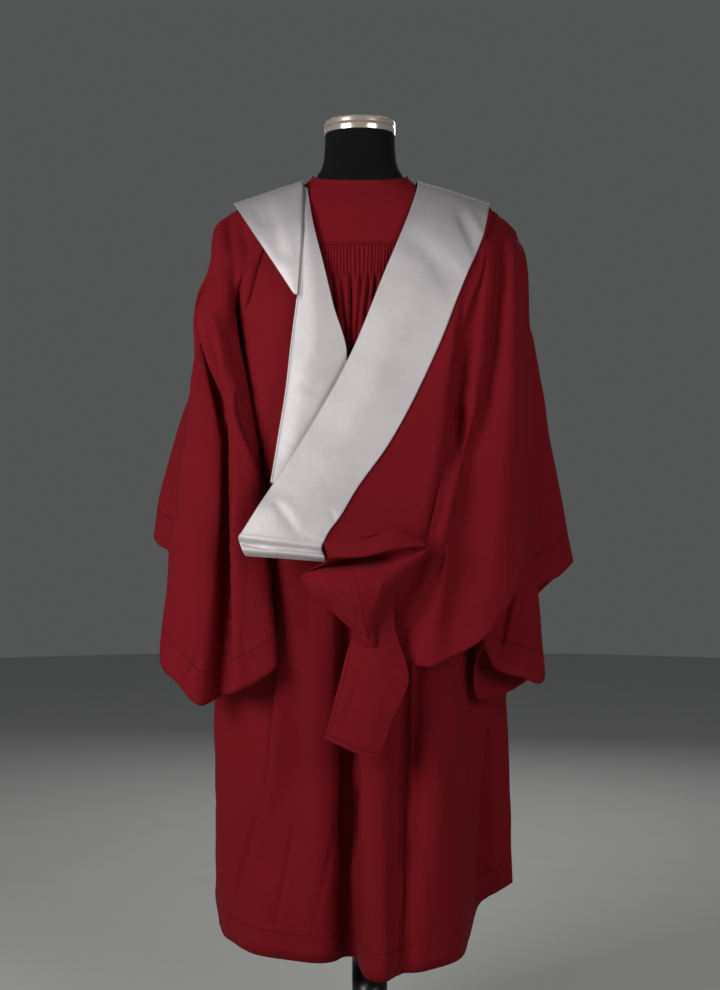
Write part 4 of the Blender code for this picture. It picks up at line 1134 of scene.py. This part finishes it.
def length_property(name, description, default):
    """A length in the panel."""
    return bpy.props.FloatProperty(
        name=name, description=description, default=default, unit="LENGTH", precision=4)


class GownSizes(bpy.types.PropertyGroup):
    """Sizes of the cloth and of the view."""
    cloth_thickness: length_property("Gown cloth", "Thickness of the gown's cloth", 0.0012)
    hood_thickness: length_property("Hood cloth", "Thickness of the hood's lined cloth", 0.0018)
    pleats: bpy.props.IntProperty(name="Pleats", description="Stitched pleats under the yoke",
                                  default=44, min=20, max=90)
    pleat_depth: length_property("Pleat depth", "How far a pleat stands out", 0.0036)
    hem_depth: length_property("Gown hem", "Depth of the gown's turned hem", 0.042)
    cuff_depth: length_property("Sleeve hem", "Depth of the sleeves' turned hem", 0.052)
    cape_hem: length_property("Cape edge", "From the cape's edge to its stitches", 0.008)
    view_distance: length_property("View distance", "From the form's middle to the camera",
                                   VIEW_DISTANCE)
    view_height: length_property("View height", "Height of the camera", VIEW_HEIGHT)
    lens: bpy.props.FloatProperty(name="Lens", description="Focal length in mm", default=55.0)


class GownColours(bpy.types.PropertyGroup):
    """Colours of the cloth, satin and stand."""
    cloth_lit: colour_property("Crimson", "Gown cloth, lighter yarns", (0.200, 0.0058, 0.0120))
    cloth_deep: colour_property("Deep crimson", "Gown cloth, darker yarns", (0.130, 0.0032, 0.0078))
    sheen: colour_property("Nap", "Tint of the cloth's nap", (0.90, 0.14, 0.16))
    satin_light: colour_property("Silver", "Satin, lighter", (0.60, 0.565, 0.58))
    satin_shade: colour_property("Silver shade", "Satin, darker", (0.52, 0.485, 0.50))
    # Painted shade: a dim silver for the satin high over the shoulders, where it turns up away from
    # the lights
    satin_painted_shade: colour_property("Silver over the shoulders", "Satin, turned up",
                                    (0.27, 0.255, 0.275))
    jersey: colour_property("Jersey", "Form cover", (0.0036, 0.0035, 0.0038))
    lacquer: colour_property("Lacquer", "Post and base", (0.008, 0.008, 0.008))
    chrome: colour_property("Chrome", "Neck cap", (0.95, 0.80, 0.70))


made = {}


def sewn(name, stands_for, grid, thick, material, closed=False):
    """A piece of cloth that stands for its solid."""
    piece = cloth(name, grid, thick, material, closed)
    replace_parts(piece, stands_for)


def stood(name, stands_for, profile, steps, around, centre, material):
    """A turned piece of the stand, its corners eased, that stands for its solid."""
    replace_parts(turned(name, rounded(profile, steps), around, centre, material), stands_for)


class GOWN_OT_form(bpy.types.Operator):
    """Jersey-covered form, chrome neck cap, post and round base"""
    bl_idname = "gown.form"
    bl_label = "Dress form"

    def execute(self, context):
        colours = context.scene.gown_colours
        heights = np.array([row[0] for row in BODY], float)[::-1]
        fine = np.unique(np.concatenate([np.interp(np.linspace(0, len(heights) - 1, 141),
                                                   np.arange(len(heights)), heights)]))
        around = np.arange(-180, 180, 2.0)
        angle, height = np.meshgrid(around, fine, indexing="ij")
        grid = body_surface(angle.ravel(), height.ravel()).reshape(len(around), len(fine), 3)
        foot, lid = (through_down(np.stack([rim, rim * 0 + rim.mean(0)], 1), places)
                     for rim, places in ((grid[:, 0], [0.96, 0.3, 0.02]),
                                         (grid[:, -1], [0.02, 0.3, 0.96])))
        whole = np.concatenate([foot, grid, lid], axis=1) + np.array([BODY_LEAN, 0, 0])
        m, n = whole.shape[:2]
        i, j = squares(m, n - 1)
        ci, cj = i + [0, 1, 1, 0], j + [0, 0, 1, 1]
        quads = (ci % m) * n + cj
        torso = put_mesh("form_cover", whole.reshape(-1, 3), quads, ci * 1.15 / m, cj * 0.80 / n,
                         black_jersey("form_jersey_cover", colours))
        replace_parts(torso, "form_torso")
        chrome = bright_chrome("cap_bright_chrome", colours)
        stood("form_cap", "neck_cap", CAP_PROFILE, 7, 96, (BODY_LEAN, CAP_DEPTH, 0), chrome)
        lacquer = black_lacquer("post_black_lacquer", colours)
        stood("stand_post", "form_post", POST_PROFILE, 5, 64, (0, 0, 0), lacquer)
        stood("stand_base", "form_base", BASE_PROFILE, 6, 128, (0, 0, 0), lacquer)
        return {"FINISHED"}


class GOWN_OT_body(bpy.types.Operator):
    """Yoke, pleated back and both fronts"""
    bl_idname = "gown.body"
    bl_label = "Gown body"

    def execute(self, context):
        sizes = context.scene.gown_sizes
        colours = context.scene.gown_colours
        plain = red_cloth("gown_crimson_yoke", colours, (YOKE_STITCH,))
        hemmed = red_cloth("gown_crimson_skirt", colours, (sizes.hem_depth,), sizes.hem_depth)
        thick = sizes.cloth_thickness
        sewn("yoke_cloth", "gown_yoke", yoke_grid(), thick, plain)
        made["back"] = back_grid(sizes)
        sewn("back_cloth", "gown_back", made["back"], thick, hemmed)
        for side, word in ((-1, "left"), (1, "right")):
            made[word] = front_grid(side, made["back"])
            sewn(f"front_cloth_{word}", f"gown_front_{word}", made[word], thick, hemmed)
        return {"FINISHED"}


class GOWN_OT_sleeves(bpy.types.Operator):
    """Both bell sleeves with their turned hems"""
    bl_idname = "gown.sleeves"
    bl_label = "Sleeves"

    def execute(self, context):
        sizes = context.scene.gown_sizes
        paint = red_cloth("gown_crimson_sleeves", context.scene.gown_colours,
                          (sizes.cuff_depth,), sizes.cuff_depth)
        for side, word, rows, head, creases, head_lift in (
                (-1, "left", LEFT_SLEEVE, LEFT_SLEEVE_HEAD, SLEEVE_LEFT_CREASES, LEFT_HEAD_LIFT),
                (1, "right", RIGHT_SLEEVE, RIGHT_SLEEVE_HEAD, SLEEVE_RIGHT_CREASES, RIGHT_HEAD_LIFT)):
            ring = armhole(side, made["back"], made[word])
            laps = [armhole(side, made["back"], made[word], share)
                    for share in np.linspace(1, 0, LAP_RINGS, endpoint=False)]
            grid = sleeve_grid(rows, side, head, ring, creases, 17 + side, laps, head_lift)
            sewn(f"sleeve_cloth_{word}", f"sleeve_{word}", grid, sizes.cloth_thickness, paint,
                 closed=True)
        return {"FINISHED"}


class GOWN_OT_satin(bpy.types.Operator):
    """Silver satin of the hood: right band, shoulder piece and long left band"""
    bl_idname = "gown.satin"
    bl_label = "Hood satin"

    def execute(self, context):
        thick = context.scene.gown_sizes.hood_thickness
        colours = context.scene.gown_colours
        satin = silver_satin("hood_silver_satin", colours)
        stitched = silver_satin("hood_silver_satin_edge", colours, BAND_STITCH)
        made["band"] = uneven(spread(BAND_RIGHT, 24, HOOD_STEPS), BAND_RIGHT_CREASES, 21)
        plain = spread(SHOULDER_LEFT, 16, HOOD_STEPS)
        for name, node, grid, paint in (
                ("hood_satin_right", "hood_band_right", made["band"], satin),
                ("hood_satin_shoulder", "hood_shoulder_left",
                 uneven(plain, SHOULDER_LEFT_CREASES, 22), satin),
                ("hood_satin_left", "hood_band_left", band_left_grid(plain), stitched)):
            sewn(name, node, grid, thick, paint)
        return {"FINISHED"}


class GOWN_OT_hood(bpy.types.Operator):
    """Crimson outside of the hood: cape, cowl and tail"""
    bl_idname = "gown.hood"
    bl_label = "Hood cloth"

    def execute(self, context):
        sizes = context.scene.gown_sizes
        colours = context.scene.gown_colours
        edged = red_cloth("hood_crimson_cape", colours, (sizes.cape_hem,))
        plain = red_cloth("hood_crimson_cowl", colours)
        thick = sizes.hood_thickness
        for name, node, grid, wall, paint in (
                ("hood_cloth_cape", "hood_cape", np.swapaxes(cape_grid(made["band"]), 0, 1), thick,
                 edged),
                ("hood_cloth_cowl", "hood_cowl",
                 uneven(spread(COWL_ROWS, 50, 16), COWL_CREASES, 31, 0.04, 0.0007), thick, plain),
                ("hood_cloth_tail", "hood_tail",
                 uneven(spread(TAIL_ROWS, 22, 16), TAIL_CREASES, 37, 0.04, 0.0007),
                 TAIL_THICKNESS, edged)):
            sewn(name, node, grid, wall, paint)
        return {"FINISHED"}


class GOWN_OT_stage(bpy.types.Operator):
    """Pale floor, soft studio lights and the camera"""
    bl_idname = "gown.stage"
    bl_label = "Studio"

    def execute(self, context):
        scene = context.scene
        sizes = scene.gown_sizes
        turn = np.arange(FLOOR_AROUND) * 2 * np.pi / FLOOR_AROUND
        verts = np.stack([np.outer(FLOOR_RINGS, np.cos(turn)), np.outer(FLOOR_RINGS, np.sin(turn)),
                          np.zeros((len(FLOOR_RINGS), FLOOR_AROUND))], axis=-1).reshape(-1, 3)
        i, j = squares(len(FLOOR_RINGS) - 1, FLOOR_AROUND)
        ci, cj = i + [0, 1, 1, 0], j + [0, 0, 1, 1]
        floor = put_mesh("floor", verts, ci * FLOOR_AROUND + cj % FLOOR_AROUND,
                         ci * 1.0, cj * 1.0, pale_floor("floor_pale"))
        for name, spot, size, power, tint in STUDIO_LIGHTS:
            lamp = bpy.data.lights.new(name, "AREA")
            lamp.shape = "RECTANGLE"
            lamp.size, lamp.size_y = size
            lamp.energy = power
            lamp.color = tint
            light = bpy.data.objects.new(name, lamp)
            light.location = spot
            aim = mathutils.Vector((BODY_LEAN, 0, LIGHT_AIM_HEIGHT)) - mathutils.Vector(spot)
            light.rotation_euler = aim.to_track_quat("-Z", "Y").to_euler()
            scene.collection.objects.link(light)
        world = bpy.data.worlds.new("studio_air")
        world.use_nodes = True
        light_in = world.node_tree.nodes["Background"].inputs
        light_in[0].default_value = WORLD_COLOUR
        light_in[1].default_value = WORLD_STRENGTH
        scene.world = world
        scene.view_settings.view_transform = "Standard"
        lens = bpy.data.cameras.new("camera")
        lens.lens = sizes.lens
        lens.sensor_width = SENSOR_WIDTH
        camera = bpy.data.objects.new("camera", lens)
        camera.location = (BODY_LEAN, -sizes.view_distance, sizes.view_height)
        camera.rotation_euler = (math.radians(90), 0, 0)
        scene.collection.objects.link(camera)
        scene.camera = camera
        return {"FINISHED"}


class GOWN_PT_panel(bpy.types.Panel):
    """Sizes, colours and pieces of the gown"""
    bl_idname = "GOWN_PT_panel"
    bl_label = "Graduation gown"
    bl_space_type = "VIEW_3D"
    bl_region_type = "UI"
    bl_category = "Gown"

    def draw(self, context):
        layout = self.layout
        for group in (context.scene.gown_sizes, context.scene.gown_colours):
            column = layout.column(align=True)
            for name in type(group).__annotations__:
                column.prop(group, name)
        for operator in OPERATORS:
            layout.operator(operator.bl_idname)


OPERATORS = (GOWN_OT_form, GOWN_OT_body, GOWN_OT_sleeves, GOWN_OT_satin, GOWN_OT_hood, GOWN_OT_stage)
CLASSES = (GownSizes, GownColours, *OPERATORS, GOWN_PT_panel)


def register():
    """Register the classes and put the settings on the scene."""
    for item in CLASSES:
        bpy.utils.register_class(item)
    bpy.types.Scene.gown_sizes = bpy.props.PointerProperty(type=GownSizes)
    bpy.types.Scene.gown_colours = bpy.props.PointerProperty(type=GownColours)


def unregister():
    """Take the settings and the classes away."""
    del bpy.types.Scene.gown_colours
    del bpy.types.Scene.gown_sizes
    for item in reversed(CLASSES):
        bpy.utils.unregister_class(item)


def main():
    """Build every piece."""
    register()
    bpy.ops.gown.form()
    bpy.ops.gown.body()
    bpy.ops.gown.sleeves()
    bpy.ops.gown.satin()
    bpy.ops.gown.hood()
    bpy.ops.gown.stage()


if __name__ == "__main__":
    main()
